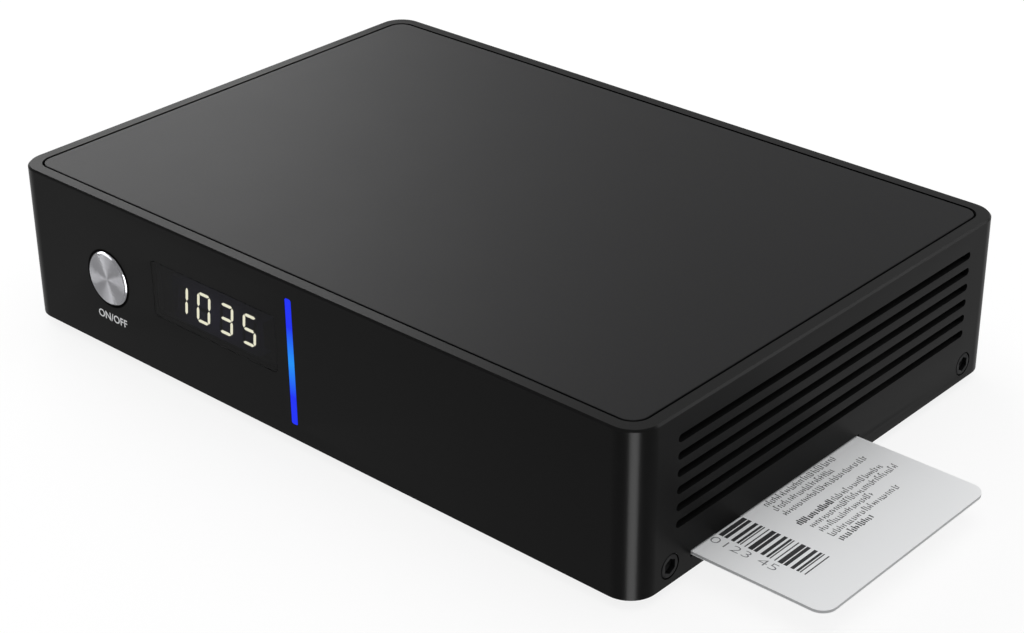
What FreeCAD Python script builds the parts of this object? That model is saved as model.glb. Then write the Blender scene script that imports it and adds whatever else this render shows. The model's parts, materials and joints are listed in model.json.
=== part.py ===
import FreeCAD, Part
import math
import os

# Satellite television receiver: a low case on four rubber feet, with a card pulled part of the way
# out of its right side.
# Millimetres. X runs to the right, Y to the rear and Z up. The origin is the centre of the case's
# footprint, at the level of the feet's undersides. Places written "from the left" or "above the bottom"
# are measured on the case.

# Case shell
case_width = 175.0
case_depth = 120.0
case_height = 36.0
corner_radius = 6.0
top_edge_break = 0.4
wall = 2.0
roof = 2.4

# Corner radius of a round-ended slot, as a part of its width, how far a cutting shape runs past the face
# it cuts, the smallest inner corner, and how near an edge lies to the level it is picked by
full_round = 0.49
overrun = 1.0
least_corner = 0.3
tolerance = 1e-6

# Inset top panel and the groove round it
rim_width = 2.8
groove_width = 0.5
panel_thickness = 1.2
panel_corner_radius = 3.5

# Rear opening of the shell
rear_post_width = 8.5
rear_lintel = 1.0

# Side vents
vent_count = 6
vent_length = 96.8
vent_height = 1.7
vent_pitch = 3.65
vent_drop = 5.6

# Sheet metal tray and rear panel
sheet = 1.2
shell_gap = 0.3
panel_gap = 0.2
side_flange_height = 7.6
rear_flange_height = 5.6
floor_vent_count = 9
floor_vent_length = 26.0
floor_vent_width = 2.0
floor_vent_pitch = 5.0

# Feet
foot_height = 2.0
foot_radius = 6.0
foot_inset = 14.0
foot_edge = 0.5

# M3 screws, their holes and the nuts clinched in the tray
screw_radius = 1.45
screw_hole_gap = 0.1
screw_head_radius = 2.5
screw_head_height = 1.3
screw_socket_width = 2.0
screw_socket_depth = 0.9
head_gap = 0.15
side_screw_inset = 10.2
side_screw_height = 4.0
side_screw_length = 6.5
nut_radius = 2.4
nut_height = 2.0
rear_screw_inset = 7.0
rear_screw_length = 6.0

# Main board, its standoffs and screws
board_lift = 5.2
board_thickness = 1.6
board_side_gap = 4.0
board_front_gap = 4.8
board_rear_gap = 1.0
standoff_radius = 2.8
standoff_bore = 1.25
standoff_inset = 4.2
board_screw_gap = 0.1
board_screw_length = 5.0
board_screw_head_radius = 2.3
board_screw_head_height = 1.5
screw_slot_length = 2.8
screw_slot_width = 0.6
screw_slot_depth = 0.75

# Smart card, a standard one, and how far it stands out of the case
card_length = 85.60
card_width = 53.98
card_thickness = 0.76
card_corner_radius = 3.18
card_from_front = 43.7
card_above_bottom = 3.24
card_stand_out = 29.9
card_travel_in = 20.0
card_slot_gap = 0.4
chip_length = 12.6
chip_width = 11.4
chip_thickness = 0.2
chip_corner_radius = 1.5
chip_from_end = 15.1
chip_from_middle = 3.1

# Card reader
reader_gap = 0.3
reader_cover = 2.0
reader_mouth_inset = 14.0
reader_window_border = 8.0
insulation_thickness = 0.3
insulation_border = 1.2
contact_width = 0.9
contact_pitch = 2.54
contact_thickness = 0.1
contact_gap = 0.05
contact_lane_gap = 0.3
contact_slot_gap = 0.1
contact_tail_gap = 0.1
contact_tail_thickness = 0.2
contact_rows = 4
contact_column_spacing = 7.62
contact_tip_length = 3.0

# Front features, from the left edge and above the bottom edge of the front face
button_from_left = 28.9
button_above_bottom = 17.3
button_radius = 6.3
button_ring_gap = 0.2
button_proud = 0.8
button_edge = 0.45
button_flange_width = 1.0
button_flange_thickness = 0.8
button_stem_radius = 1.6
button_travel = 0.5
display_from_left = 62.6
display_above_bottom = 19.9
window_from_left = 63.0
window_above_bottom = 20.4
window_width = 38.0
window_height = 13.0
window_thickness = 1.0
window_ledge = 0.8
window_corner_radius = 1.0
window_gap = 0.05
strip_from_left = 86.2
strip_width = 1.75
strip_corner_radius = 0.5
strip_bottom_margin = 3.5
strip_top_margin = 3.7
strip_flange_width = 1.0
strip_flange_thickness = 0.8

# Seven segment digits
digit_height = 6.9
digit_width = 3.9
digit_pitch = 7.0
digit_slant = 7.5
segment_width = 0.8
segment_gap = 0.12
segment_depth = 0.1
shown_digits = ("bc", "abcdef", "abcdg", "acdfg")

# Front board and what it carries
front_board_setback = 4.6
front_board_thickness = 1.6
front_board_side_gap = 7.5
front_board_reach = 9.6
front_board_floor_gap = 1.4
front_board_roof_gap = 1.0
post_radius = 2.6
post_bore = 1.1
post_inset = 3.6
module_width = 26.4
module_height = 10.0
window_back_gap = 0.1
receiver_width = 4.0
receiver_height = 5.6
receiver_spacing = 0.6
receiver_dome_radius = 1.4
tact_width = 6.0
tact_height = 2.6
tact_floor = 0.6
plunger_radius = 1.5
plunger_bore_gap = 0.1
plunger_height = 0.9
led_count = 6
led_width = 1.5
led_length = 3.0
led_height = 0.8
led_gap = 0.2
link_pin_count = 10
link_pitch = 2.54
link_pin_width = 0.6
link_pin_tail = 1.0
link_height = 2.5
link_left_of_display = 6.1

# Processor, its heat path and the other parts on the main board, placed from the board's edges
processor_from_left = 46.0
processor_from_front = 35.0
processor_width = 21.0
processor_height = 1.4
pad_width = 19.0
pad_thickness = 0.8
heatsink_width = 40.0
heatsink_base = 2.0
heatsink_height = 12.0
fin_count = 9
fin_thickness = 1.3
fin_notch = 8.0
push_pin_inset = 4.0
push_pin_radius = 1.4
push_pin_head_radius = 2.8
push_pin_head_height = 1.4
push_pin_tail = 1.6
pin_gap = 0.1
memory_length = 13.3
memory_width = 7.5
memory_height = 1.1
memory_from_processor = 29.0
memory_spacing = 18.0
flash_from_left = 18.0
flash_behind_memory = 9.4
flash_length = 18.0
flash_width = 12.0
flash_height = 1.0
inductor_width = 6.0
inductor_height = 3.0
inductor_edge = 0.8
capacitor_radius = 3.15
capacitor_height = 7.7
capacitor_edge = 0.4
power_from_right = 60.0
power_from_front = 27.0
power_pitch = 9.0
power_row_spacing = 11.0
inductor_count = 4
capacitor_count = 5
radio_from_right = 12.0
radio_from_front = 13.0
radio_length = 15.0
radio_width = 13.0
radio_board_height = 0.8
radio_lid_border = 0.6
radio_lid_length = 9.9
radio_can_height = 1.6
transformer_length = 15.0
transformer_width = 7.0
transformer_height = 4.0
transformer_from_socket = 3.0

# Rear connectors, spread evenly along the rear opening from the right to the left
row_margin = 3.0
cutout_gap = 0.3
socket_proud = 0.4
satellite_can_width = 36.0
satellite_can_depth = 31.0
satellite_can_height = 18.0
terrestrial_can_width = 15.0
terrestrial_can_depth = 27.0
terrestrial_can_height = 16.0
can_gap = 0.2
can_edge = 0.6
can_wall = 0.8
coax_height = 9.6
f_pitch = 18.0
f_thread_radius = 4.76
f_neck_radius = 4.4
f_bore_radius = 3.4
f_reach = 10.6
f_insulator_recess = 0.4
f_pin_hole = 0.6
f_nut_flats = 11.0
f_nut_height = 2.4
f_nut_gap = 0.06
f_thread_start = 0.4
antenna_radius = 4.75
antenna_wall = 0.5
antenna_reach = 8.8
antenna_contact_radius = 1.5
antenna_contact_bore = 1.15
antenna_contact_floor = 2.0
antenna_insulator_reach = 3.0
usb_width = 14.6
usb_height = 15.8
usb_depth = 17.0
usb_slot_width = 12.6
usb_slot_height = 5.2
usb_slot_depth = 11.0
usb_slot_spacing = 8.0
usb_tongue_width = 11.1
usb_tongue_height = 1.8
usb_tongue_length = 8.6
usb_tongue_rise = 1.0
hdmi_width = 15.2
hdmi_height = 6.0
hdmi_depth = 11.5
hdmi_wall = 0.55
hdmi_corner_cut = 1.5
hdmi_slot_depth = 8.0
hdmi_tongue_width = 11.4
hdmi_tongue_height = 1.2
hdmi_tongue_length = 6.6
optical_width = 9.8
optical_height = 10.0
optical_depth = 13.0
optical_mouth = 5.8
optical_lip = 0.8
optical_cavity_depth = 8.0
optical_side_room = 0.3
optical_pocket = 1.2
shutter_thickness = 0.6
shutter_lap = 0.15
shutter_hinge_rise = 0.5
shutter_pin_radius = 0.4
shutter_pin_gap = 0.07
shutter_pin_length = 0.5
shutter_side_gap = 0.15
ethernet_width = 16.0
ethernet_height = 13.5
ethernet_depth = 21.0
ethernet_mouth_width = 11.8
ethernet_mouth_height = 8.2
ethernet_mouth_rise = 3.4
ethernet_cavity_depth = 14.0
ethernet_latch_width = 6.0
ethernet_latch_height = 1.8
ethernet_contact_count = 8
ethernet_contact_pitch = 1.02
ethernet_contact_width = 0.4
ethernet_contact_drop = 1.0
ethernet_contact_length = 9.0
jack_width = 9.0
jack_height = 11.0
jack_depth = 14.0
jack_centre_height = 6.2
jack_bore_radius = 3.1
jack_bore_depth = 9.5
jack_pin_radius = 1.05
jack_pin_recess = 0.5
switch_width = 10.5
switch_height = 15.0
switch_bezel = 2.0
switch_edge = 0.5
switch_body_width = 8.4
switch_body_height = 13.2
switch_body_depth = 12.0
switch_centre_height = 10.6
paddle_half_height = 5.6
paddle_corner_rise = 3.2
paddle_middle_rise = 2.0
paddle_tilt = 8.0
paddle_room = 0.7
paddle_side_gap = 0.3
paddle_window_wall = 1.2
paddle_pin_radius = 0.9
paddle_pin_gap = 0.07
paddle_pin_length = 0.8
switch_lead_width = 2.0
switch_lead_thickness = 0.8
switch_lead_spacing = 6.0
switch_lead_inset = 1.6

# Levels and faces that follow from the sizes above
left = -case_width / 2
right = case_width / 2
front = -case_depth / 2
rear = case_depth / 2
bottom = foot_height
top = bottom + case_height
roof_under = top - roof
front_inside = front + wall
opening_half = case_width / 2 - rear_post_width
opening_top = roof_under - rear_lintel
tray_half_width = case_width / 2 - wall - shell_gap
tray_half_depth = case_depth / 2 - wall - shell_gap
tray_corner = max(least_corner, corner_radius - wall - shell_gap)
floor_top = bottom + sheet
flange_inside = tray_half_width - sheet
rear_panel_inside = tray_half_depth
rear_panel_outside = rear_panel_inside + sheet
rear_flange_inside = tray_half_depth - sheet
socket_face = rear_panel_outside + socket_proud

button_x = left + button_from_left
button_z = bottom + button_above_bottom
display_x = left + display_from_left
display_z = bottom + display_above_bottom
window_x = left + window_from_left
window_z = bottom + window_above_bottom
strip_x = left + strip_from_left
strip_low = bottom + strip_bottom_margin
strip_high = top - strip_top_margin
strip_height = strip_high - strip_low
strip_z = (strip_low + strip_high) / 2

front_board_front = front_inside + front_board_setback
front_board_back = front_board_front + front_board_thickness
front_board_left = left + wall + front_board_side_gap
front_board_right = strip_x + front_board_reach
front_board_bottom = floor_top + front_board_floor_gap
front_board_top = roof_under - front_board_roof_gap

board_bottom = floor_top + board_lift
board_top = board_bottom + board_thickness
board_half_width = flange_inside - board_side_gap
board_front = front_board_back + board_front_gap
board_rear = rear_flange_inside - board_rear_gap
processor_x = processor_from_left - board_half_width
processor_y = board_front + processor_from_front
flash_x = flash_from_left - board_half_width
flash_y = processor_y + (memory_spacing + memory_length + flash_length) / 2 + flash_behind_memory
power_x = board_half_width - power_from_right
power_y = board_front + power_from_front
radio_x = board_half_width - radio_from_right
radio_y = board_front + radio_from_front
link_x = display_x - link_left_of_display

card_y = front + card_from_front
card_bottom = bottom + card_above_bottom
card_top = card_bottom + card_thickness
card_outer = right + card_stand_out
card_inner = card_outer - card_length
card_seated_inner = card_inner - card_travel_in

side_screw_z = bottom + side_screw_height
side_screw_y = case_depth / 2 - side_screw_inset
rear_screw_z = floor_top + rear_flange_height / 2


def vector(x, y, z):
    return FreeCAD.Vector(x, y, z)


def block(x0, x1, y0, y1, z0, z1):
    """A square-cornered block between two opposite corners."""
    return Part.makeBox(x1 - x0, y1 - y0, z1 - z0, vector(x0, y0, z0))


def rod(radius, start, axis, length):
    """A round bar from start along axis."""
    return Part.makeCylinder(radius, length, vector(*start), vector(*axis))


def prism(points, travel):
    """A straight-sided outline pushed along travel."""
    corners = [vector(*point) for point in points]
    wire = Part.makePolygon(corners + corners[:1])
    return Part.Face(wire).extrude(vector(*travel))


def rounded_outline(half_width, half_height, radius):
    """The corners of a rounded rectangle, as lines and quarter arcs, in its own plane."""
    edges = []
    turns = ((1, 1), (-1, 1), (-1, -1), (1, -1))
    ends = []
    for sign_u, sign_v in turns:
        u = sign_u * (half_width - radius)
        v = sign_v * (half_height - radius)
        along_u = (u + sign_u * radius, v)
        along_v = (u, v + sign_v * radius)
        middle = (u + sign_u * radius * math.sqrt(0.5), v + sign_v * radius * math.sqrt(0.5))
        if sign_u * sign_v > 0:
            ends.append((along_u, middle, along_v))
        else:
            ends.append((along_v, middle, along_u))
    for index, arc in enumerate(ends):
        edges.append(("arc",) + arc)
        edges.append(("line", arc[2], ends[(index + 1) % 4][0]))
    return edges


def rounded_block(centre, half_width, half_height, radius, depth, plane):
    """A rounded rectangle pushed along the normal of its plane, which is "xy", "xz" or "yz"."""

    def place(point):
        u, v = point
        if plane == "xy":
            return vector(centre[0] + u, centre[1] + v, centre[2])
        if plane == "xz":
            return vector(centre[0] + u, centre[1], centre[2] + v)
        return vector(centre[0], centre[1] + u, centre[2] + v)

    edges = []
    for kind, *points in rounded_outline(half_width, half_height, radius):
        spots = [place(point) for point in points]
        if kind == "arc":
            edges.append(Part.Arc(*spots).toShape())
        else:
            edges.append(Part.makeLine(*spots))
    travel = {"xy": vector(0, 0, depth), "xz": vector(0, depth, 0), "yz": vector(depth, 0, 0)}[plane]
    return Part.Face(Part.Wire(edges)).extrude(travel)


def hexagon(flats, start, axis, length):
    """A six-sided bar from start along the X or Y axis, with flats this far apart."""
    reach = flats / math.sqrt(3)
    points = []
    for step in range(6):
        angle = math.radians(60 * step)
        u = reach * math.cos(angle)
        v = reach * math.sin(angle)
        if axis[0]:
            points.append((start[0], start[1] + u, start[2] + v))
        else:
            points.append((start[0] + u, start[1], start[2] + v))
    return prism(points, [length * part for part in axis])


def save(node, *pieces):
    """Writes one node, which is one solid or a group of separate ones."""
    shape = pieces[0] if len(pieces) == 1 else Part.makeCompound(list(pieces))
    shape.exportStep(os.path.join("parts", node + ".step"))


def both_sides(value):
    return (-value, value)


def cap_screw(seat, axis, shank_length):
    """A socket cap screw whose head stands on seat; axis points from the shank to the head."""
    back = [-part for part in axis]
    head = rod(screw_head_radius, seat, axis, screw_head_height)
    shank = rod(screw_radius, seat, back, shank_length)
    socket_level = screw_head_height - screw_socket_depth
    socket_start = [seat[i] + axis[i] * socket_level for i in range(3)]
    socket = hexagon(screw_socket_width, socket_start, axis, screw_socket_depth)
    return head.fuse(shank).removeSplitter().cut(socket)


def pan_screw(seat, axis, shank_radius, shank_length):
    """A small board screw with a crossed slot; axis points from the shank to the head."""
    back = [-part for part in axis]
    head = rod(board_screw_head_radius, seat, axis, board_screw_head_height)
    shank = rod(shank_radius, seat, back, shank_length)
    screw = head.fuse(shank).removeSplitter()
    slot_floor = board_screw_head_height - screw_slot_depth
    x, y, z = (seat[i] + axis[i] * slot_floor for i in range(3))
    long_half = screw_slot_length / 2
    short_half = screw_slot_width / 2
    for half_u, half_v in ((long_half, short_half), (short_half, long_half)):
        if axis[2]:
            slot = block(x - half_u, x + half_u, y - half_v, y + half_v, z, z + screw_slot_depth)
        else:
            slot = block(x - half_u, x + half_u, y, y + screw_slot_depth, z - half_v, z + half_v)
        screw = screw.cut(slot)
    return screw


def front_post_places():
    for x in (front_board_left + post_inset, front_board_right - post_inset):
        for z in (front_board_bottom + post_inset, front_board_top - post_inset):
            yield x, z


def side_screw_places():
    for side in (-1, 1):
        for y in both_sides(side_screw_y):
            yield side, y


def standoff_places():
    near = board_front + standoff_inset
    far = board_rear - standoff_inset
    outer = board_half_width - standoff_inset
    beside_reader = reader_left - standoff_inset - standoff_radius
    can_face = rear_panel_inside - can_gap
    behind_reader = (card_y + reader_half + can_face - terrestrial_can_depth) / 2
    yield -outer, near
    yield -outer, far
    yield beside_reader, near
    yield beside_reader, behind_reader
    yield place["terrestrial"], behind_reader
    yield outer, can_face - satellite_can_depth - standoff_inset


def rear_centres():
    """The X of each rear connector's centre, spread with equal gaps from the right to the left."""
    widths = (
        ("satellite", satellite_can_width),
        ("terrestrial", terrestrial_can_width),
        ("usb", usb_width),
        ("hdmi", hdmi_width),
        ("optical", optical_width),
        ("ethernet", ethernet_width),
        ("jack", jack_width),
        ("switch", switch_width),
    )
    room = 2 * (opening_half - row_margin) - sum(width for name, width in widths)
    gap = room / (len(widths) - 1)
    centres = {}
    edge = opening_half - row_margin
    for name, width in widths:
        centres[name] = edge - width / 2
        edge -= width + gap
    return centres


reader_left = card_seated_inner - reader_gap - reader_cover
reader_right = flange_inside - reader_mouth_inset
reader_half = card_width / 2 + reader_gap + reader_cover
place = rear_centres()
coax_z = board_top + coax_height
switch_z = board_top + switch_centre_height
f_places = [place["satellite"] - f_pitch / 2, place["satellite"] + f_pitch / 2]


def case_shell():
    shell = rounded_block((0, 0, bottom), case_width / 2, case_depth / 2, corner_radius, case_height, "xy")
    top_edges = [edge for edge in shell.Edges if edge.BoundBox.ZMin > top - tolerance]
    shell = shell.makeChamfer(top_edge_break, top_edges)
    inner_radius = max(least_corner, corner_radius - wall)
    inside = rounded_block(
        (0, 0, bottom - overrun),
        case_width / 2 - wall,
        case_depth / 2 - wall,
        inner_radius,
        roof_under - bottom + overrun,
        "xy",
    )
    shell = shell.cut(inside)
    recess = rounded_block(
        (0, 0, top - panel_thickness),
        case_width / 2 - rim_width,
        case_depth / 2 - rim_width,
        panel_corner_radius + groove_width,
        panel_thickness + overrun,
        "xy",
    )
    shell = shell.cut(recess)
    shell = shell.cut(block(-opening_half, opening_half, 0, rear + overrun, bottom - overrun, opening_top))
    for index in range(vent_count):
        z = top - vent_drop - index * vent_pitch
        slot = rounded_block(
            (left - overrun, 0, z),
            vent_length / 2,
            vent_height / 2,
            vent_height * full_round,
            case_width + 2 * overrun,
            "yz",
        )
        shell = shell.cut(slot)
    shell = shell.cut(
        block(
            0,
            right + overrun,
            card_y - card_width / 2 - card_slot_gap,
            card_y + card_width / 2 + card_slot_gap,
            card_bottom - card_slot_gap,
            card_top + card_slot_gap,
        )
    )
    for side, y in side_screw_places():
        face = side * case_width / 2
        hole = rod(screw_radius + screw_hole_gap, (face, y, side_screw_z), (-side, 0, 0), wall + overrun)
        seat = rod(screw_head_radius + head_gap, (face, y, side_screw_z), (-side, 0, 0), screw_head_height)
        shell = shell.cut(hole).cut(seat)
    ring = button_radius + button_ring_gap
    shell = shell.cut(rod(ring, (button_x, front - overrun, button_z), (0, 1, 0), wall + 2 * overrun))
    half_width = window_width / 2
    half_height = window_height / 2
    pocket = rounded_block(
        (window_x, front - overrun, window_z),
        half_width + window_gap,
        half_height + window_gap,
        window_corner_radius + window_gap,
        window_thickness + overrun,
        "xz",
    )
    opening = block(
        window_x - half_width + window_ledge,
        window_x + half_width - window_ledge,
        front - overrun,
        front_inside + overrun,
        window_z - half_height + window_ledge,
        window_z + half_height - window_ledge,
    )
    shell = shell.cut(pocket).cut(opening)
    slot = rounded_block(
        (strip_x, front - overrun, strip_z),
        strip_width / 2 + window_gap,
        strip_height / 2 + window_gap,
        strip_corner_radius,
        wall + 2 * overrun,
        "xz",
    )
    shell = shell.cut(slot)
    for x, z in front_post_places():
        post = rod(post_radius, (x, front_inside - wall / 2, z), (0, 1, 0), wall / 2 + front_board_setback)
        bore = rod(post_bore, (x, front_inside, z), (0, 1, 0), front_board_setback + overrun)
        shell = shell.fuse(post).cut(bore)
    save("case_shell", shell.removeSplitter())


def top_panel():
    panel = rounded_block(
        (0, 0, top - panel_thickness),
        case_width / 2 - rim_width - groove_width,
        case_depth / 2 - rim_width - groove_width,
        panel_corner_radius,
        panel_thickness,
        "xy",
    )
    save("top_panel", panel)


def floor_vent_places():
    for index in range(floor_vent_count):
        yield processor_x + (index - (floor_vent_count - 1) / 2) * floor_vent_pitch


def base_tray():
    tray = rounded_block((0, 0, bottom), tray_half_width, tray_half_depth, tray_corner, sheet, "xy")
    flange_half = tray_half_depth - tray_corner
    for side in (-1, 1):
        inner = side * flange_inside
        outer = side * tray_half_width
        low, high = sorted((inner, outer))
        flange = block(low, high, -flange_half, flange_half, bottom, floor_top + side_flange_height)
        tray = tray.fuse(flange)
    rear_flange = block(
        -opening_half, opening_half, rear_flange_inside, tray_half_depth, bottom, floor_top + rear_flange_height
    )
    tray = tray.fuse(rear_flange).removeSplitter()
    notch = block(
        0,
        right,
        card_y - card_width / 2 - 2 * card_slot_gap,
        card_y + card_width / 2 + 2 * card_slot_gap,
        card_bottom - 2 * card_slot_gap,
        floor_top + side_flange_height + overrun,
    )
    tray = tray.cut(notch)
    for side, y in side_screw_places():
        start = (side * (tray_half_width + overrun), y, side_screw_z)
        tray = tray.cut(rod(screw_radius + screw_hole_gap, start, (-side, 0, 0), sheet + 2 * overrun))
    for x in rear_screw_places():
        start = (x, rear_flange_inside - overrun, rear_screw_z)
        tray = tray.cut(rod(screw_radius + screw_hole_gap, start, (0, 1, 0), sheet + 2 * overrun))
    for x in floor_vent_places():
        for y in both_sides(floor_vent_length / 2 + floor_vent_pitch):
            slot = rounded_block(
                (x, processor_y + y, bottom - overrun),
                floor_vent_width / 2,
                floor_vent_length / 2,
                floor_vent_width * full_round,
                sheet + 2 * overrun,
                "xy",
            )
            tray = tray.cut(slot)
    save("base_tray", tray)


def rear_screw_places():
    half = opening_half - rear_screw_inset
    return (-half, 0.0, half)


def rear_panel():
    panel = block(
        -opening_half + panel_gap,
        opening_half - panel_gap,
        rear_panel_inside,
        rear_panel_outside,
        bottom,
        opening_top - panel_gap,
    )
    start = rear_panel_inside - overrun
    through = sheet + 2 * overrun
    for x in rear_screw_places():
        panel = panel.cut(rod(screw_radius + screw_hole_gap, (x, start, rear_screw_z), (0, 1, 0), through))
    for x in f_places:
        panel = panel.cut(rod(f_thread_radius + cutout_gap, (x, start, coax_z), (0, 1, 0), through))
    panel = panel.cut(rod(antenna_radius + cutout_gap, (place["terrestrial"], start, coax_z), (0, 1, 0), through))
    cutouts = (
        ("usb", usb_width, board_top, board_top + usb_height),
        ("hdmi", hdmi_width, board_top, board_top + hdmi_height),
        ("optical", optical_width, board_top, board_top + optical_height),
        ("ethernet", ethernet_width, board_top, board_top + ethernet_height),
        ("jack", jack_width, board_top, board_top + jack_height),
        ("switch", switch_body_width, switch_z - switch_body_height / 2, switch_z + switch_body_height / 2),
    )
    for name, width, low, high in cutouts:
        hole = block(
            place[name] - width / 2 - cutout_gap,
            place[name] + width / 2 + cutout_gap,
            start,
            start + through,
            low - cutout_gap,
            high + cutout_gap,
        )
        panel = panel.cut(hole)
    save("rear_panel", panel)


def rubber_feet():
    feet = []
    for x in both_sides(case_width / 2 - foot_inset):
        for y in both_sides(case_depth / 2 - foot_inset):
            foot = rod(foot_radius, (x, y, 0), (0, 0, 1), foot_height)
            low_edge = [edge for edge in foot.Edges if edge.BoundBox.ZMax < tolerance]
            feet.append(foot.makeFillet(foot_edge, low_edge))
    save("rubber_feet", *feet)


def side_fasteners():
    screws = []
    nuts = []
    for side, y in side_screw_places():
        seat = (side * (case_width / 2 - screw_head_height), y, side_screw_z)
        screws.append(cap_screw(seat, (side, 0, 0), side_screw_length))
        nut = rod(nut_radius, (side * flange_inside, y, side_screw_z), (-side, 0, 0), nut_height)
        bore = rod(screw_radius + screw_hole_gap, (side * flange_inside, y, side_screw_z), (-side, 0, 0), nut_height)
        nuts.append(nut.cut(bore))
    save("side_screws", *screws)
    save("side_screw_nuts", *nuts)


def rear_fasteners():
    screws = []
    for x in rear_screw_places():
        screws.append(cap_screw((x, rear_panel_outside, rear_screw_z), (0, 1, 0), rear_screw_length))
    save("rear_panel_screws", *screws)


def board_fasteners():
    standoffs = []
    screws = []
    for x, y in standoff_places():
        pillar = rod(standoff_radius, (x, y, floor_top), (0, 0, 1), board_lift)
        standoffs.append(pillar.cut(rod(standoff_bore, (x, y, floor_top), (0, 0, 1), board_lift)))
        screws.append(pan_screw((x, y, board_top), (0, 0, 1), standoff_bore - board_screw_gap, board_screw_length))
    save("board_standoffs", *standoffs)
    save("main_board_screws", *screws)


def push_pin_places():
    """Two opposite corners of the heatsink, as their signs and the pin's place."""
    reach = heatsink_width / 2 - push_pin_inset
    for sign in (-1, 1):
        yield sign, processor_x + sign * reach, processor_y - sign * reach


def link_pin_places():
    for index in range(link_pin_count):
        yield link_x + (index - (link_pin_count - 1) / 2) * link_pitch


def main_board():
    board = block(-board_half_width, board_half_width, board_front, board_rear, board_bottom, board_top)
    for x, y in standoff_places():
        board = board.cut(rod(standoff_bore, (x, y, board_bottom), (0, 0, 1), board_thickness))
    for sign, x, y in push_pin_places():
        board = board.cut(rod(push_pin_radius + pin_gap, (x, y, board_bottom), (0, 0, 1), board_thickness))
    half = link_pin_width / 2 + pin_gap
    middle = board_front + link_height / 2
    for x in link_pin_places():
        board = board.cut(block(x - half, x + half, middle - half, middle + half, board_bottom, board_top))
    save("main_board", board)


def front_board():
    board = block(
        front_board_left,
        front_board_right,
        front_board_front,
        front_board_back,
        front_board_bottom,
        front_board_top,
    )
    screws = []
    for x, z in front_post_places():
        board = board.cut(rod(post_bore, (x, front_board_front, z), (0, 1, 0), front_board_thickness))
        seat = (x, front_board_back, z)
        shank_length = front_board_thickness + front_board_setback
        screws.append(pan_screw(seat, (0, 1, 0), post_bore - board_screw_gap, shank_length))
    half = link_pin_width / 2 + pin_gap
    level = board_top + link_height / 2
    for x in link_pin_places():
        board = board.cut(block(x - half, x + half, front_board_front, front_board_back, level - half, level + half))
    save("front_board", board)
    save("front_board_screws", *screws)


def board_link():
    half_length = link_pin_count * link_pitch / 2
    level = board_top + link_height / 2
    body = block(
        link_x - half_length,
        link_x + half_length,
        board_front,
        board_front + link_height,
        board_top,
        board_top + link_height,
    )
    half = link_pin_width / 2
    middle = board_front + link_height / 2
    pins = []
    for x in link_pin_places():
        tip_y = front_board_front - link_pin_tail
        tip_z = board_bottom - link_pin_tail
        along = block(x - half, x + half, tip_y, middle + half, level - half, level + half)
        down = block(x - half, x + half, middle - half, middle + half, tip_z, level + half)
        pin = along.fuse(down).removeSplitter()
        body = body.cut(pin)
        pins.append(pin)
    save("board_link_header", body)
    save("board_link_pins", *pins)


def power_button():
    face = front - button_proud
    flange_front = front_inside + window_gap
    flange_back = flange_front + button_flange_thickness
    cap = rod(button_radius, (button_x, face, button_z), (0, 1, 0), flange_back - face)
    rim = [edge for edge in cap.Edges if edge.BoundBox.YMax < face + tolerance]
    cap = cap.makeChamfer(button_edge, rim)
    flange = rod(
        button_radius + button_ring_gap + button_flange_width,
        (button_x, flange_front, button_z),
        (0, 1, 0),
        button_flange_thickness,
    )
    tip = front_board_front - tact_height - plunger_height
    stem = rod(button_stem_radius, (button_x, flange_front, button_z), (0, 1, 0), tip - flange_front)
    save("power_button", cap.fuse(flange).fuse(stem).removeSplitter())


def tact_switch():
    half = tact_width / 2
    face = front_board_front - tact_height
    body = block(button_x - half, button_x + half, face, front_board_front, button_z - half, button_z + half)
    depth = tact_height - tact_floor
    bore = rod(plunger_radius + plunger_bore_gap, (button_x, face, button_z), (0, 1, 0), depth)
    save("tact_switch_body", body.cut(bore))
    length = plunger_height + depth - button_travel - plunger_bore_gap
    save("tact_switch_plunger", rod(plunger_radius, (button_x, face - plunger_height, button_z), (0, 1, 0), length))


def display_window():
    lens = rounded_block(
        (window_x, front, window_z), window_width / 2, window_height / 2, window_corner_radius, window_thickness, "xz"
    )
    save("display_window", lens)


def module_face():
    return front + window_thickness + window_back_gap


def display_module():
    module = block(
        display_x - module_width / 2,
        display_x + module_width / 2,
        module_face() + segment_depth,
        front_board_front,
        display_z - module_height / 2,
        display_z + module_height / 2,
    )
    save("display_module", module)
    edge = display_x + module_width / 2 + receiver_spacing
    low = display_z - receiver_height / 2
    body = block(edge, edge + receiver_width, front_inside, front_board_front, low, low + receiver_height)
    middle = edge + receiver_width / 2
    dome = Part.makeSphere(receiver_dome_radius, vector(middle, module_face() + receiver_dome_radius, display_z))
    save("infrared_receiver", body.fuse(dome).removeSplitter())


def segment_outlines():
    """Each segment's corners in a digit's own frame, centred on it: a pointed bar, level or upright."""
    half_w = digit_width / 2 - segment_width / 2
    half_h = digit_height / 2 - segment_width / 2
    tip = segment_width / 2
    gap = segment_gap

    def level(v):
        return [
            (-half_w + gap, v),
            (-half_w + tip + gap, v + tip),
            (half_w - tip - gap, v + tip),
            (half_w - gap, v),
            (half_w - tip - gap, v - tip),
            (-half_w + tip + gap, v - tip),
        ]

    def upright(u, v):
        low = v - half_h / 2 + gap
        high = v + half_h / 2 - gap
        return [
            (u, low),
            (u + tip, low + tip),
            (u + tip, high - tip),
            (u, high),
            (u - tip, high - tip),
            (u - tip, low + tip),
        ]

    return {
        "a": level(half_h),
        "b": upright(half_w, half_h / 2),
        "c": upright(half_w, -half_h / 2),
        "d": level(-half_h),
        "e": upright(-half_w, -half_h / 2),
        "f": upright(-half_w, half_h / 2),
        "g": level(0),
    }


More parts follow.
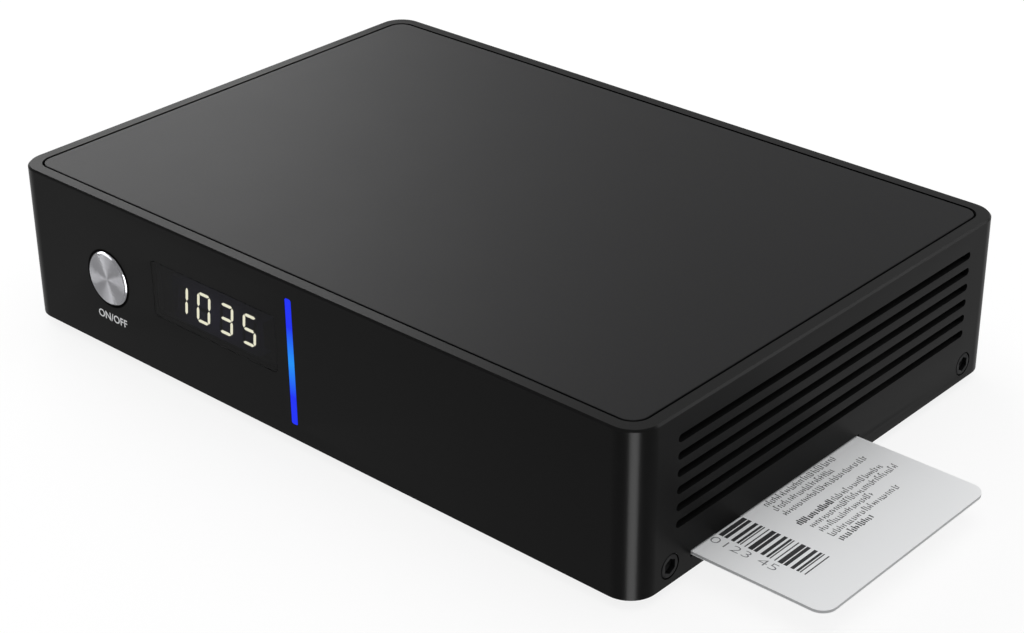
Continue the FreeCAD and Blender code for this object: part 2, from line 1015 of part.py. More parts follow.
def display_segments():
    lean = math.tan(math.radians(digit_slant))
    back = module_face() + segment_depth
    outlines = segment_outlines()
    lit = []
    unlit = []
    for index, shown in enumerate(shown_digits):
        centre = display_x + (index - (len(shown_digits) - 1) / 2) * digit_pitch
        for letter, outline in outlines.items():
            points = [(centre + u + v * lean, back, display_z + v) for u, v in outline]
            plate = prism(points, (0, -segment_depth, 0))
            (lit if letter in shown else unlit).append(plate)
    save("lit_segments", *lit)
    save("unlit_segments", *unlit)


def light_strip():
    half_width = strip_width / 2
    half_height = strip_height / 2
    back = front_board_front - led_height - led_gap
    bar = rounded_block((strip_x, front, strip_z), half_width, half_height, strip_corner_radius, back - front, "xz")
    flange = block(
        strip_x - half_width - strip_flange_width,
        strip_x + half_width + strip_flange_width,
        front_inside + window_gap,
        front_inside + window_gap + strip_flange_thickness,
        strip_z - half_height - strip_flange_width / 2,
        strip_z + half_height + strip_flange_width / 2,
    )
    save("light_pipe", bar.fuse(flange).removeSplitter())
    leds = []
    for index in range(led_count):
        z = strip_z + (index - (led_count - 1) / 2) * strip_height / led_count
        leds.append(
            block(
                strip_x - led_width / 2,
                strip_x + led_width / 2,
                front_board_front - led_height,
                front_board_front,
                z - led_length / 2,
                z + led_length / 2,
            )
        )
    save("strip_leds", *leds)


def processor_group():
    half = processor_width / 2
    chip = block(
        processor_x - half,
        processor_x + half,
        processor_y - half,
        processor_y + half,
        board_top,
        board_top + processor_height,
    )
    save("processor", chip)
    pad_low = board_top + processor_height
    pad_high = pad_low + pad_thickness
    half = pad_width / 2
    pad = block(processor_x - half, processor_x + half, processor_y - half, processor_y + half, pad_low, pad_high)
    save("thermal_pad", pad)
    half = heatsink_width / 2
    base_top = pad_high + heatsink_base
    sink = block(processor_x - half, processor_x + half, processor_y - half, processor_y + half, pad_high, base_top)
    pitch = (heatsink_width - fin_thickness) / (fin_count - 1)
    for index in range(fin_count):
        x = processor_x - half + index * pitch
        fin = block(x, x + fin_thickness, processor_y - half, processor_y + half, pad_high, pad_high + heatsink_height)
        sink = sink.fuse(fin)
    for sign, x, y in push_pin_places():
        x0, x1 = sorted((processor_x + sign * half, processor_x + sign * (half - fin_notch)))
        y0, y1 = sorted((processor_y - sign * half, processor_y - sign * (half - fin_notch)))
        sink = sink.cut(block(x0, x1, y0, y1, base_top, pad_high + heatsink_height + overrun))
        hole_start = (x, y, pad_high - overrun)
        sink = sink.cut(rod(push_pin_radius + pin_gap, hole_start, (0, 0, 1), heatsink_base + 2 * overrun))
    save("processor_heatsink", sink.removeSplitter())
    pins = []
    for sign, x, y in push_pin_places():
        low = board_bottom - push_pin_tail
        shank = rod(push_pin_radius, (x, y, low), (0, 0, 1), base_top - low)
        head = rod(push_pin_head_radius, (x, y, base_top), (0, 0, 1), push_pin_head_height)
        pins.append(shank.fuse(head).removeSplitter())
    save("heatsink_push_pins", *pins)


def board_parts():
    chips = []
    for x in (processor_x - memory_from_processor, processor_x + memory_from_processor):
        for y in both_sides(memory_spacing / 2):
            x0 = x - memory_width / 2
            y0 = processor_y + y - memory_length / 2
            chips.append(block(x0, x0 + memory_width, y0, y0 + memory_length, board_top, board_top + memory_height))
    save("memory_chips", *chips)
    x0 = flash_x - flash_width / 2
    y0 = flash_y - flash_length / 2
    save("flash_chip", block(x0, x0 + flash_width, y0, y0 + flash_length, board_top, board_top + flash_height))
    coils = []
    for index in range(inductor_count):
        x0 = power_x + index * power_pitch - inductor_width / 2
        y0 = power_y - inductor_width / 2
        coil = block(x0, x0 + inductor_width, y0, y0 + inductor_width, board_top, board_top + inductor_height)
        upright = [edge for edge in coil.Edges if edge.BoundBox.ZLength > inductor_height / 2]
        coils.append(coil.makeChamfer(inductor_edge, upright))
    save("power_inductors", *coils)
    cans = []
    for index in range(capacitor_count):
        x = power_x + index * power_pitch
        can = rod(capacitor_radius, (x, power_y - power_row_spacing, board_top), (0, 0, 1), capacitor_height)
        rim = [edge for edge in can.Edges if edge.BoundBox.ZMin > board_top + capacitor_height - tolerance]
        cans.append(can.makeFillet(capacitor_edge, rim))
    save("electrolytic_capacitors", *cans)
    x0 = radio_x - radio_length / 2
    y0 = radio_y - radio_width / 2
    card = block(x0, x0 + radio_length, y0, y0 + radio_width, board_top, board_top + radio_board_height)
    lid_low = board_top + radio_board_height
    lid_x = x0 + radio_lid_border
    lid_y = y0 + radio_lid_border
    lid_back = y0 + radio_width - radio_lid_border
    lid = block(lid_x, lid_x + radio_lid_length, lid_y, lid_back, lid_low, lid_low + radio_can_height)
    save("wireless_module", card.fuse(lid).removeSplitter())
    x0 = place["ethernet"] - transformer_length / 2
    y1 = socket_face - ethernet_depth - transformer_from_socket
    transformer = block(
        x0,
        x0 + transformer_length,
        y1 - transformer_width,
        y1,
        board_top,
        board_top + transformer_height,
    )
    save("network_transformer", transformer)


def tuner_can(node, centre, width, depth, height):
    """A screening can, open towards the board."""
    rear_face = rear_panel_inside - can_gap
    half = width / 2
    can = block(centre - half, centre + half, rear_face - depth, rear_face, board_top, board_top + height)
    top_edges = [edge for edge in can.Edges if edge.BoundBox.ZMin > board_top + height - tolerance]
    can = can.makeFillet(can_edge, top_edges)
    inside = block(
        centre - half + can_wall,
        centre + half - can_wall,
        rear_face - depth + can_wall,
        rear_face - can_wall,
        board_top - overrun,
        board_top + height - can_wall,
    )
    save(node, can.cut(inside))


def coax_connectors():
    tuner_can(
        "satellite_tuner_can", place["satellite"], satellite_can_width, satellite_can_depth, satellite_can_height
    )
    tuner_can(
        "terrestrial_tuner_can",
        place["terrestrial"],
        terrestrial_can_width,
        terrestrial_can_depth,
        terrestrial_can_height,
    )
    start = rear_panel_inside - can_gap
    nut_end = rear_panel_outside + f_nut_height
    tip = rear_panel_outside + f_reach
    bodies = []
    cores = []
    nuts = []
    for x in f_places:
        thread_start = nut_end + f_thread_start
        neck = rod(f_neck_radius, (x, start, coax_z), (0, 1, 0), thread_start - start)
        thread = rod(f_thread_radius, (x, thread_start, coax_z), (0, 1, 0), tip - thread_start)
        bore = rod(f_bore_radius, (x, start, coax_z), (0, 1, 0), tip - start)
        bodies.append(neck.fuse(thread).cut(bore))
        core = rod(f_bore_radius, (x, start, coax_z), (0, 1, 0), tip - start - f_insulator_recess)
        cores.append(core.cut(rod(f_pin_hole, (x, start, coax_z), (0, 1, 0), tip - start)))
        nut = hexagon(f_nut_flats, (x, rear_panel_outside, coax_z), (0, 1, 0), f_nut_height)
        hole = rod(f_neck_radius + f_nut_gap, (x, rear_panel_outside, coax_z), (0, 1, 0), f_nut_height)
        nuts.append(nut.cut(hole))
    save("f_connectors", *bodies)
    save("f_insulators", *cores)
    save("f_nuts", *nuts)
    x = place["terrestrial"]
    tip = rear_panel_outside + antenna_reach
    inner = antenna_radius - antenna_wall
    tube = rod(antenna_radius, (x, start, coax_z), (0, 1, 0), tip - start)
    tube = tube.cut(rod(inner, (x, start, coax_z), (0, 1, 0), tip - start))
    contact = rod(antenna_contact_radius, (x, start, coax_z), (0, 1, 0), tip - start)
    bore_start = (x, start + antenna_contact_floor, coax_z)
    contact = contact.cut(rod(antenna_contact_bore, bore_start, (0, 1, 0), tip - start))
    save("antenna_connector", tube, contact)
    end = rear_panel_outside + antenna_insulator_reach
    core = rod(inner, (x, start, coax_z), (0, 1, 0), end - start)
    save("antenna_insulator", core.cut(rod(antenna_contact_radius, (x, start, coax_z), (0, 1, 0), end - start)))


def usb_socket():
    x = place["usb"]
    shell = block(
        x - usb_width / 2,
        x + usb_width / 2,
        socket_face - usb_depth,
        socket_face,
        board_top,
        board_top + usb_height,
    )
    middle = board_top + usb_height / 2
    tongues = []
    for z in (middle - usb_slot_spacing / 2, middle + usb_slot_spacing / 2):
        low = z - usb_slot_height / 2
        deep = socket_face - usb_slot_depth
        slot = block(x - usb_slot_width / 2, x + usb_slot_width / 2, deep, socket_face, low, low + usb_slot_height)
        shell = shell.cut(slot)
        level = low + usb_slot_height - usb_tongue_rise - usb_tongue_height
        half = usb_tongue_width / 2
        tongues.append(block(x - half, x + half, deep, deep + usb_tongue_length, level, level + usb_tongue_height))
    save("usb_shell", shell)
    save("usb_tongues", *tongues)


def hdmi_outline(inset, y):
    half = hdmi_width / 2 - inset
    low = board_top + inset
    high = board_top + hdmi_height - inset
    cut = hdmi_corner_cut - inset / 2
    x = place["hdmi"]
    return [
        (x - half + cut, y, low),
        (x + half - cut, y, low),
        (x + half, y, low + cut),
        (x + half, y, high),
        (x - half, y, high),
        (x - half, y, low + cut),
    ]


def hdmi_socket():
    shell = prism(hdmi_outline(0, socket_face - hdmi_depth), (0, hdmi_depth, 0))
    deep = socket_face - hdmi_slot_depth
    shell = shell.cut(prism(hdmi_outline(hdmi_wall, deep), (0, hdmi_slot_depth, 0)))
    save("hdmi_shell", shell)
    half = hdmi_tongue_width / 2
    level = board_top + hdmi_height / 2 - hdmi_tongue_height / 2
    x = place["hdmi"]
    save("hdmi_tongue", block(x - half, x + half, deep, deep + hdmi_tongue_length, level, level + hdmi_tongue_height))


def optical_socket():
    x = place["optical"]
    half = optical_mouth / 2
    z = board_top + optical_height / 2
    body = block(
        x - optical_width / 2,
        x + optical_width / 2,
        socket_face - optical_depth,
        socket_face,
        board_top,
        board_top + optical_height,
    )
    lip_back = socket_face - optical_lip
    cavity_low = z - half - 2 * shutter_lap
    cavity_high = z + half + optical_pocket
    cavity_half = half + optical_side_room
    mouth = block(x - half, x + half, lip_back - overrun, socket_face, z - half, z + half)
    deep = lip_back - optical_cavity_depth
    cavity = block(x - cavity_half, x + cavity_half, deep, lip_back, cavity_low, cavity_high)
    hinge_y = lip_back - shutter_pin_gap - shutter_pin_radius
    hinge_z = z + half + shutter_hinge_rise
    pin_reach = cavity_half + shutter_pin_length
    seat = rod(
        shutter_pin_radius + shutter_pin_gap,
        (x - pin_reach - shutter_pin_gap, hinge_y, hinge_z),
        (1, 0, 0),
        2 * (pin_reach + shutter_pin_gap),
    )
    save("optical_socket", body.cut(mouth).cut(cavity).cut(seat))
    plate_half = cavity_half - shutter_side_gap
    plate = block(
        x - plate_half,
        x + plate_half,
        hinge_y - shutter_thickness / 2,
        hinge_y + shutter_thickness / 2,
        z - half - shutter_lap,
        hinge_z,
    )
    pin = rod(shutter_pin_radius, (x - pin_reach, hinge_y, hinge_z), (1, 0, 0), 2 * pin_reach)
    save("optical_shutter", plate.fuse(pin).removeSplitter())


def ethernet_socket():
    x = place["ethernet"]
    body = block(
        x - ethernet_width / 2,
        x + ethernet_width / 2,
        socket_face - ethernet_depth,
        socket_face,
        board_top,
        board_top + ethernet_height,
    )
    half = ethernet_mouth_width / 2
    low = board_top + ethernet_mouth_rise
    high = low + ethernet_mouth_height
    deep = socket_face - ethernet_cavity_depth
    body = body.cut(block(x - half, x + half, deep, socket_face, low, high))
    half_latch = ethernet_latch_width / 2
    body = body.cut(block(x - half_latch, x + half_latch, deep, socket_face, low - ethernet_latch_height, low))
    save("ethernet_socket", body)
    wires = []
    for index in range(ethernet_contact_count):
        wire_x = x + (index - (ethernet_contact_count - 1) / 2) * ethernet_contact_pitch
        half_wire = ethernet_contact_width / 2
        level = high - ethernet_contact_drop
        wires.append(
            block(
                wire_x - half_wire,
                wire_x + half_wire,
                deep,
                deep + ethernet_contact_length,
                level - ethernet_contact_width,
                level,
            )
        )
    save("ethernet_contacts", *wires)


def dc_jack():
    x = place["jack"]
    z = board_top + jack_centre_height
    body = block(
        x - jack_width / 2,
        x + jack_width / 2,
        socket_face - jack_depth,
        socket_face,
        board_top,
        board_top + jack_height,
    )
    deep = socket_face - jack_bore_depth
    body = body.cut(rod(jack_bore_radius, (x, deep, z), (0, 1, 0), jack_bore_depth))
    save("dc_jack_body", body)
    save("dc_jack_pin", rod(jack_pin_radius, (x, deep, z), (0, 1, 0), jack_bore_depth - jack_pin_recess))


def rocker_switch():
    x = place["switch"]
    bezel_face = rear_panel_outside + switch_bezel
    pivot_y = bezel_face - switch_bezel
    bezel = block(
        x - switch_width / 2,
        x + switch_width / 2,
        rear_panel_outside,
        bezel_face,
        switch_z - switch_height / 2,
        switch_z + switch_height / 2,
    )
    front_edges = [edge for edge in bezel.Edges if edge.BoundBox.YMin > bezel_face - tolerance]
    bezel = bezel.makeFillet(switch_edge, front_edges)
    body_back = rear_panel_outside - switch_body_depth
    body = block(
        x - switch_body_width / 2,
        x + switch_body_width / 2,
        body_back,
        rear_panel_outside,
        switch_z - switch_body_height / 2,
        switch_z + switch_body_height / 2,
    )
    reach = math.hypot(paddle_half_height, paddle_corner_rise)
    widest = math.atan2(paddle_half_height, paddle_corner_rise) + math.radians(paddle_tilt)
    room_half = max(paddle_half_height, reach * math.sin(min(widest, math.pi / 2))) + paddle_side_gap
    room_width = switch_body_width / 2 - paddle_window_wall
    room_back = pivot_y - paddle_half_height - paddle_room
    room = block(x - room_width, x + room_width, room_back, bezel_face, switch_z - room_half, switch_z + room_half)
    pin_reach = room_width + paddle_pin_length
    seat = rod(
        paddle_pin_radius + paddle_pin_gap,
        (x - pin_reach - paddle_pin_gap, pivot_y, switch_z),
        (1, 0, 0),
        2 * (pin_reach + paddle_pin_gap),
    )
    save("rocker_switch_body", bezel.fuse(body).removeSplitter().cut(room).cut(seat))
    paddle_width = room_width - paddle_side_gap
    h = paddle_half_height
    outline = [
        (x - paddle_width, pivot_y + paddle_corner_rise, switch_z + h),
        (x - paddle_width, pivot_y + paddle_middle_rise, switch_z),
        (x - paddle_width, pivot_y + paddle_corner_rise, switch_z - h),
        (x - paddle_width, pivot_y, switch_z - h),
        (x - paddle_width, pivot_y - h / 2, switch_z - h / 3),
        (x - paddle_width, pivot_y - h / 2, switch_z + h / 3),
        (x - paddle_width, pivot_y, switch_z + h),
    ]
    paddle = prism(outline, (2 * paddle_width, 0, 0))
    pin = rod(paddle_pin_radius, (x - pin_reach, pivot_y, switch_z), (1, 0, 0), 2 * pin_reach)
    paddle = paddle.fuse(pin).removeSplitter()
    paddle.rotate(vector(x, pivot_y, switch_z), vector(1, 0, 0), paddle_tilt)
    save("rocker_switch_paddle", paddle)
    leads = []
    for offset in both_sides(switch_lead_spacing / 2):
        half = switch_lead_thickness / 2
        x0 = x + offset - switch_lead_width / 2
        low = switch_z - switch_body_height / 2
        y = body_back + switch_lead_inset
        leads.append(block(x0, x0 + switch_lead_width, y - half, y + half, board_top, low))
    save("rocker_switch_leads", *leads)


def card_reader():
    low = floor_top + insulation_thickness
    frame = block(reader_left, reader_right, card_y - reader_half, card_y + reader_half, low, board_bottom)
    channel_half = card_width / 2 + reader_gap
    channel_low = card_bottom - contact_gap - contact_thickness
    channel = block(
        card_seated_inner - reader_gap,
        right,
        card_y - channel_half,
        card_y + channel_half,
        channel_low,
        card_top + reader_gap,
    )
    frame = frame.cut(channel)
    window_half = card_width / 2 - reader_window_border
    window_left = card_seated_inner + chip_from_end + contact_column_spacing + reader_window_border / 2
    window_right = reader_right - reader_window_border
    window = block(
        window_left,
        window_right,
        card_y - window_half,
        card_y + window_half,
        low - overrun,
        channel_low + overrun,
    )
    frame = frame.cut(window)
    tip_centre = card_seated_inner + chip_from_end
    tail_left = reader_left - contact_tail_gap - contact_tail_thickness
    contacts = []
    for column in (-0.5, 0.5):
        for row in range(contact_rows):
            offset = (row - (contact_rows - 1) / 2) * contact_pitch
            y = card_y + chip_from_middle + offset + column * (contact_width + contact_lane_gap)
            tip = tip_centre + column * contact_column_spacing + contact_tip_length / 2
            y0 = y - contact_width / 2
            y1 = y + contact_width / 2
            high = channel_low + contact_thickness
            leaf = block(tail_left, tip, y0, y1, channel_low, high)
            tail = block(tail_left, tail_left + contact_tail_thickness, y0, y1, channel_low, board_bottom)
            contact = leaf.fuse(tail).removeSplitter()
            lane = block(
                tail_left,
                card_seated_inner,
                y0 - contact_slot_gap,
                y1 + contact_slot_gap,
                channel_low,
                high + contact_slot_gap,
            )
            frame = frame.cut(lane)
            contacts.append(contact)
    save("card_reader_frame", frame)
    save("card_reader_contacts", *contacts)
    liner = block(
        reader_left - insulation_border,
        reader_right + insulation_border,
        card_y - reader_half - insulation_border,
        card_y + reader_half + insulation_border,
        floor_top,
        low,
    )
    save("insulation_sheet", liner)


def smart_card():
    middle = (card_inner + card_outer) / 2
    card = rounded_block(
        (middle, card_y, card_bottom), card_length / 2, card_width / 2, card_corner_radius, card_thickness, "xy"
    )
    chip = rounded_block(
        (card_inner + chip_from_end, card_y + chip_from_middle, card_bottom),
        chip_width / 2,
        chip_length / 2,
        chip_corner_radius,
        chip_thickness,
        "xy",
    )
    save("smart_card", card.cut(chip))
    save("card_chip", chip)


def main():
    case_shell()
    top_panel()
    base_tray()
    rear_panel()
    rubber_feet()
    side_fasteners()
    rear_fasteners()
    board_fasteners()
    main_board()
    front_board()
    board_link()
    power_button()
    tact_switch()
    display_window()
    display_module()
    display_segments()
    light_strip()
    processor_group()
    board_parts()
    coax_connectors()
    usb_socket()
    hdmi_socket()
    optical_socket()
    ethernet_socket()
    dc_jack()
    rocker_switch()
    card_reader()
    smart_card()


main()
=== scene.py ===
import json
import logging
import math
import random
from collections.abc import Iterable, Iterator, Sequence
from dataclasses import dataclass
from enum import Enum

import bmesh
import bpy
from mathutils import Matrix, Vector

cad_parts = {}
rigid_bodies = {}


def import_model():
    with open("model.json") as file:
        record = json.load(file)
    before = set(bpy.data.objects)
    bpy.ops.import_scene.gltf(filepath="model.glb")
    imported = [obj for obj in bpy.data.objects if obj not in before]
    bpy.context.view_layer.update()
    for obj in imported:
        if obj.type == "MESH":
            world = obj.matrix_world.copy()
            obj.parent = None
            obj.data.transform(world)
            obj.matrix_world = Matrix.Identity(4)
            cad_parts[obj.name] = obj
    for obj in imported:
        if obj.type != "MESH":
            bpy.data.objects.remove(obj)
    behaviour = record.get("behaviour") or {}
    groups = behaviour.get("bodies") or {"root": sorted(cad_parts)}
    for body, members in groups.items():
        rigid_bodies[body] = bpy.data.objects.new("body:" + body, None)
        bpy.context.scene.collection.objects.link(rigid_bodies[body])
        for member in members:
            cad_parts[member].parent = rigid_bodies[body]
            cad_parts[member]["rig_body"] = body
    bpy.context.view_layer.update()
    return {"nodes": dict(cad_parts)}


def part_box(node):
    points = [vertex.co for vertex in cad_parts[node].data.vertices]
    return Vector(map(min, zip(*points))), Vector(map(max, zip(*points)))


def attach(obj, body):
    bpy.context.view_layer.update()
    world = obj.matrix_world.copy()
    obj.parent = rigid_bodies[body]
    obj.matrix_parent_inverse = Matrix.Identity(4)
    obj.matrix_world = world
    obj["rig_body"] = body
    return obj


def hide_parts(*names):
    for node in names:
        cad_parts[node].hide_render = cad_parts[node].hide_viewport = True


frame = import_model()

log = logging.getLogger("receiver")

MM = 0.001
# Edges sharper than the first angle are rounded; facets flatter to each other than the second are joined
SHARP_ANGLE = math.radians(32)
FLAT_ANGLE = math.radians(0.6)
# How near two vertices are before they are one, and how thick a print is, in millimetres
MERGE_GAP = 0.0002
INK_FILM = 0.03
# How far in a rounded rim's middle point lies, as a share of its radius
RIM_MIDDLE = 0.3

Point = tuple[float, float, float]
Profile = Sequence[tuple[float, float]]
Tree = bpy.types.NodeTree
Node = bpy.types.Node
Socket = bpy.types.NodeSocket
Piece = bpy.types.Object


class Axis(Enum):
    """The direction that a turned part or a print faces."""

    LEFT = (-1, 0, 0)
    RIGHT = (1, 0, 0)
    FRONT = (0, -1, 0)
    REAR = (0, 1, 0)
    DOWN = (0, 0, -1)
    UP = (0, 0, 1)

    def turn(self) -> Matrix:
        """The rotation that brings +Z to this direction."""
        return Vector(self.value).to_track_quat("Z", "Y").to_matrix().to_4x4()

    def upright(self) -> Matrix:
        """The rotation that faces a print this way, with its own up towards the part's top, or its rear."""
        facing = Vector(self.value)
        up = Vector((0, 1, 0)) if facing.z else Vector((0, 0, 1))
        return Matrix((up.cross(facing), up, facing)).transposed().to_4x4()


def linear(colour: str) -> tuple[float, float, float, float]:
    """Turns an sRGB hex colour into linear red, green and blue with a full alpha."""
    shares = [int(colour[start:start + 2], 16) / 255 for start in (1, 3, 5)]
    red, green, blue = (
        share / 12.92 if share <= 0.04045 else ((share + 0.055) / 1.055) ** 2.4 for share in shares
    )
    return red, green, blue, 1.0


def add_node(tree: Tree, kind: str, settings: dict | None = None, links: dict | None = None) -> Node:
    """Adds one shader node with its settings and links.

    Args:
        tree: the material's or the world's node tree.
        kind: the node's type, without its ShaderNode prefix.
        settings: its properties and its inputs' constants, by name or by the input's number.
        links: the sockets that feed its inputs, by the input's name or number.

    Returns:
        The new node.
    """
    node = tree.nodes.new("ShaderNode" + kind)
    for name, value in (settings or {}).items():
        if isinstance(name, str) and hasattr(node, name):
            setattr(node, name, value)
        else:
            node.inputs[name].default_value = value
    for name, source in (links or {}).items():
        tree.links.new(source, node.inputs[name])
    return node


def set_inputs(node: Node, values: dict) -> None:
    """Sets a node's inputs to constants, by their names."""
    for name, value in values.items():
        node.inputs[name].default_value = value


def per_metre(size_mm: float) -> float:
    """The texture scale at which one grain is this many millimetres across."""
    return 1.0 / (size_mm * MM)


def patches(tree: Tree, place: Socket, size_mm: float, detail: float) -> Socket:
    """Soft random patches of a real size, from 0 to 1."""
    settings = {"Scale": per_metre(size_mm), "Detail": detail}
    return add_node(tree, "TexNoise", settings, {"Vector": place}).outputs["Fac"]


def spread(
    tree: Tree, value: Socket, low: float, high: float, start: float = 0.0, end: float = 1.0
) -> Socket:
    """Brings values that run from start to end to run from low to high."""
    settings = {"From Min": start, "From Max": end, "To Min": low, "To Max": high}
    return add_node(tree, "MapRange", settings, {"Value": value}).outputs["Result"]


def blend(tree: Tree, share: Socket, first: str, second: str) -> Socket:
    """Mixes two sRGB colours."""
    settings = {"data_type": "RGBA", 6: linear(first), 7: linear(second)}
    return add_node(tree, "Mix", settings, {0: share}).outputs[2]


def combine(tree: Tree, operation: str, first: Socket, second: Socket) -> Socket:
    """Does one sum with two values."""
    return add_node(tree, "Math", {"operation": operation}, {0: first, 1: second}).outputs[0]


def raise_relief(tree: Tree, shader: Node, height: Socket, depth_mm: float) -> None:
    """Gives a surface a relief of a real depth."""
    bump = add_node(tree, "Bump", {"Strength": 1.0, "Distance": depth_mm * MM}, {"Height": height})
    tree.links.new(bump.outputs["Normal"], shader.inputs["Normal"])


def brush(tree: Tree, shader: Node, stretch: float) -> None:
    """Spreads highlights along the first direction of the part's grain map, across its fine lines."""
    across = add_node(tree, "Tangent", {"direction_type": "UV_MAP", "uv_map": Form.GRAIN_MAP})
    tree.links.new(across.outputs["Tangent"], shader.inputs["Tangent"])
    shader.inputs["Anisotropic"].default_value = stretch


@dataclass(frozen=True)
class Finish:
    """A surface: its real material, its colour and how it was made.

    A plain one has a fine grain in its height and a slow change in its polish, both of real sizes.
    """

    name: str
    colour: str
    roughness: float
    metallic: float = 0.0
    ior: float = 1.5
    specular: float = 0.5
    grain_mm: float = 0.4
    grain_depth_mm: float = 0.0
    mottle: float = 0.03
    mottle_mm: float = 18.0

    def material(self) -> bpy.types.Material:
        """Returns the finish's material, which is made when it is first asked for."""
        made = bpy.data.materials.get(self.name)
        if made is None:
            made = bpy.data.materials.new(self.name)
            made.use_nodes = True
            tree = made.node_tree
            shader = tree.nodes["Principled BSDF"]
            colour = linear(self.colour)
            values = {"Base Color": colour, "Roughness": self.roughness, "Metallic": self.metallic}
            if not self.metallic:
                values |= {"IOR": self.ior, "Specular IOR Level": self.specular}
            set_inputs(shader, values)
            self.pattern(tree, shader, add_node(tree, "TexCoord").outputs["Object"])
        return made

    def pattern(self, tree: Tree, shader: Node, place: Socket) -> None:
        """Adds what the surface shows close up.

        Args:
            tree: the material's nodes.
            shader: its surface shader.
            place: the point on the object, in metres.
        """
        self.vary_polish(tree, shader, place)
        if self.grain_depth_mm:
            raise_relief(tree, shader, patches(tree, place, self.grain_mm, 2.0), self.grain_depth_mm)

    def vary_polish(self, tree: Tree, shader: Node, place: Socket) -> None:
        """Lets the roughness drift by the mottle, over patches of the mottle's size."""
        drift = patches(tree, place, self.mottle_mm, 4.0)
        low = max(0.02, self.roughness - self.mottle)
        polish = spread(tree, drift, low, self.roughness + self.mottle, 0.35, 0.65)
        tree.links.new(polish, shader.inputs["Roughness"])


@dataclass(frozen=True)
class SpeckledFinish(Finish):
    """A surface with fine flecks of a second colour, as in blasted metal, powder coat or board laminate."""

    fleck: str = "#ffffff"
    fleck_mm: float = 0.5
    fleck_share: float = 0.5

    def pattern(self, tree: Tree, shader: Node, place: Socket) -> None:
        """Adds the flecks to the grain and the drifting polish."""
        super().pattern(tree, shader, place)
        share = spread(tree, patches(tree, place, self.fleck_mm, 3.0), 0.0, self.fleck_share, 0.3, 0.7)
        tree.links.new(blend(tree, share, self.colour, self.fleck), shader.inputs["Base Color"])


@dataclass(frozen=True)
class DrawnFinish(Finish):
    """A surface polished in one direction, which spreads highlights across its fine lines."""

    stretch: float = 0.8

    def pattern(self, tree: Tree, shader: Node, place: Socket) -> None:
        """Adds the direction to the grain and the drifting polish."""
        super().pattern(tree, shader, place)
        brush(tree, shader, self.stretch)


@dataclass(frozen=True)
class SpunFinish(Finish):
    """Metal faced on a lathe: fine rings round the part's axis, which spread every highlight into rays."""

    centre: Point = (0.0, 0.0, 0.0)
    ring_mm: float = 0.12
    ring_depth_mm: float = 0.004
    stretch: float = 0.8

    def pattern(self, tree: Tree, shader: Node, place: Socket) -> None:
        """Adds the lathe's rings, as relief and as the direction of the brushing."""
        brush(tree, shader, self.stretch)
        offset = [-value * MM for value in self.centre]
        centred = add_node(tree, "Mapping", {"Location": offset, "Scale": (1, 0, 1)}, {"Vector": place})
        radius = add_node(tree, "VectorMath", {"operation": "LENGTH"}, {0: centred.outputs["Vector"]})
        settings = {"noise_dimensions": "1D", "Scale": per_metre(self.ring_mm), "Detail": 3.0}
        rings = add_node(tree, "TexNoise", settings, {"W": radius.outputs["Value"]}).outputs["Fac"]
        polish = spread(tree, rings, self.roughness - self.mottle, self.roughness + self.mottle)
        tree.links.new(polish, shader.inputs["Roughness"])
        raise_relief(tree, shader, rings, self.ring_depth_mm)


@dataclass(frozen=True)
class ClearFinish(Finish):
    """Clear plastic with a smoke tint, polished on both faces."""

    def pattern(self, tree: Tree, shader: Node, place: Socket) -> None:
        """Lets light through, with the faint unevenness of a moulded lens in its polish."""
        shader.inputs["Transmission Weight"].default_value = 1.0
        self.vary_polish(tree, shader, place)


@dataclass(frozen=True)
class GlowFinish(Finish):
    """A lit diffuser, whose glow runs from the middle's colour to its own over the reach from the centre."""

    glow: str = "#ffffff"
    middle: str = "#ffffff"
    strength: float = 1.0
    centre: Point = (0.0, 0.0, 0.0)
    reach: Point = (1.0, 1.0, 1.0)

    def pattern(self, tree: Tree, shader: Node, place: Socket) -> None:
        """Adds the glow and its change of colour."""
        self.vary_polish(tree, shader, place)
        scale = [1.0 / value for value in Vector(self.reach) * MM]
        offset = [-value * MM * share for value, share in zip(self.centre, scale)]
        centred = add_node(tree, "Mapping", {"Location": offset, "Scale": scale}, {"Vector": place})
        settings = {"gradient_type": "SPHERICAL"}
        near = add_node(tree, "TexGradient", settings, {"Vector": centred.outputs["Vector"]})
        mixed = blend(tree, near.outputs["Fac"], self.glow, self.middle)
        tree.links.new(mixed, shader.inputs["Emission Color"])
        shader.inputs["Emission Strength"].default_value = self.strength


@dataclass(frozen=True)
class Box:
    """A box in the part's frame, in millimetres."""

    low: Vector
    high: Vector

    @classmethod
    def around(cls, verts: Iterable[bmesh.types.BMVert]) -> "Box":
        """The smallest box round the vertices."""
        spots = [vert.co for vert in verts]
        low = Vector([min(spot[i] for spot in spots) for i in range(3)])
        return cls(low, Vector([max(spot[i] for spot in spots) for i in range(3)]))

    @property
    def centre(self) -> Vector:
        """The middle of the box."""
        return (self.low + self.high) / 2

    @property
    def size(self) -> Vector:
        """The box's sides."""
        return self.high - self.low


def node_box(node: str) -> Box:
    """The box that a CAD node fills, in millimetres."""
    low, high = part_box(node)
    return Box(low / MM, high / MM)


def solid_boxes(node: str) -> list[Box]:
    """The boxes of a CAD node's solids, from left to right, then from front to rear and upwards."""
    form = Form.of_node(node)
    boxes = [Box.around(verts) for verts in form.islands()]
    form.bm.free()
    return sorted(boxes, key=lambda box: tuple(round(value, 2) for value in box.centre))


def rim(radius: float, level: float, size: float) -> Profile:
    """The three points of a turned part's rounded rim, which ends at the radius and at the level."""
    middle = size * RIM_MIDDLE
    return (radius, level - size), (radius - middle, level - middle), (radius - size, level)


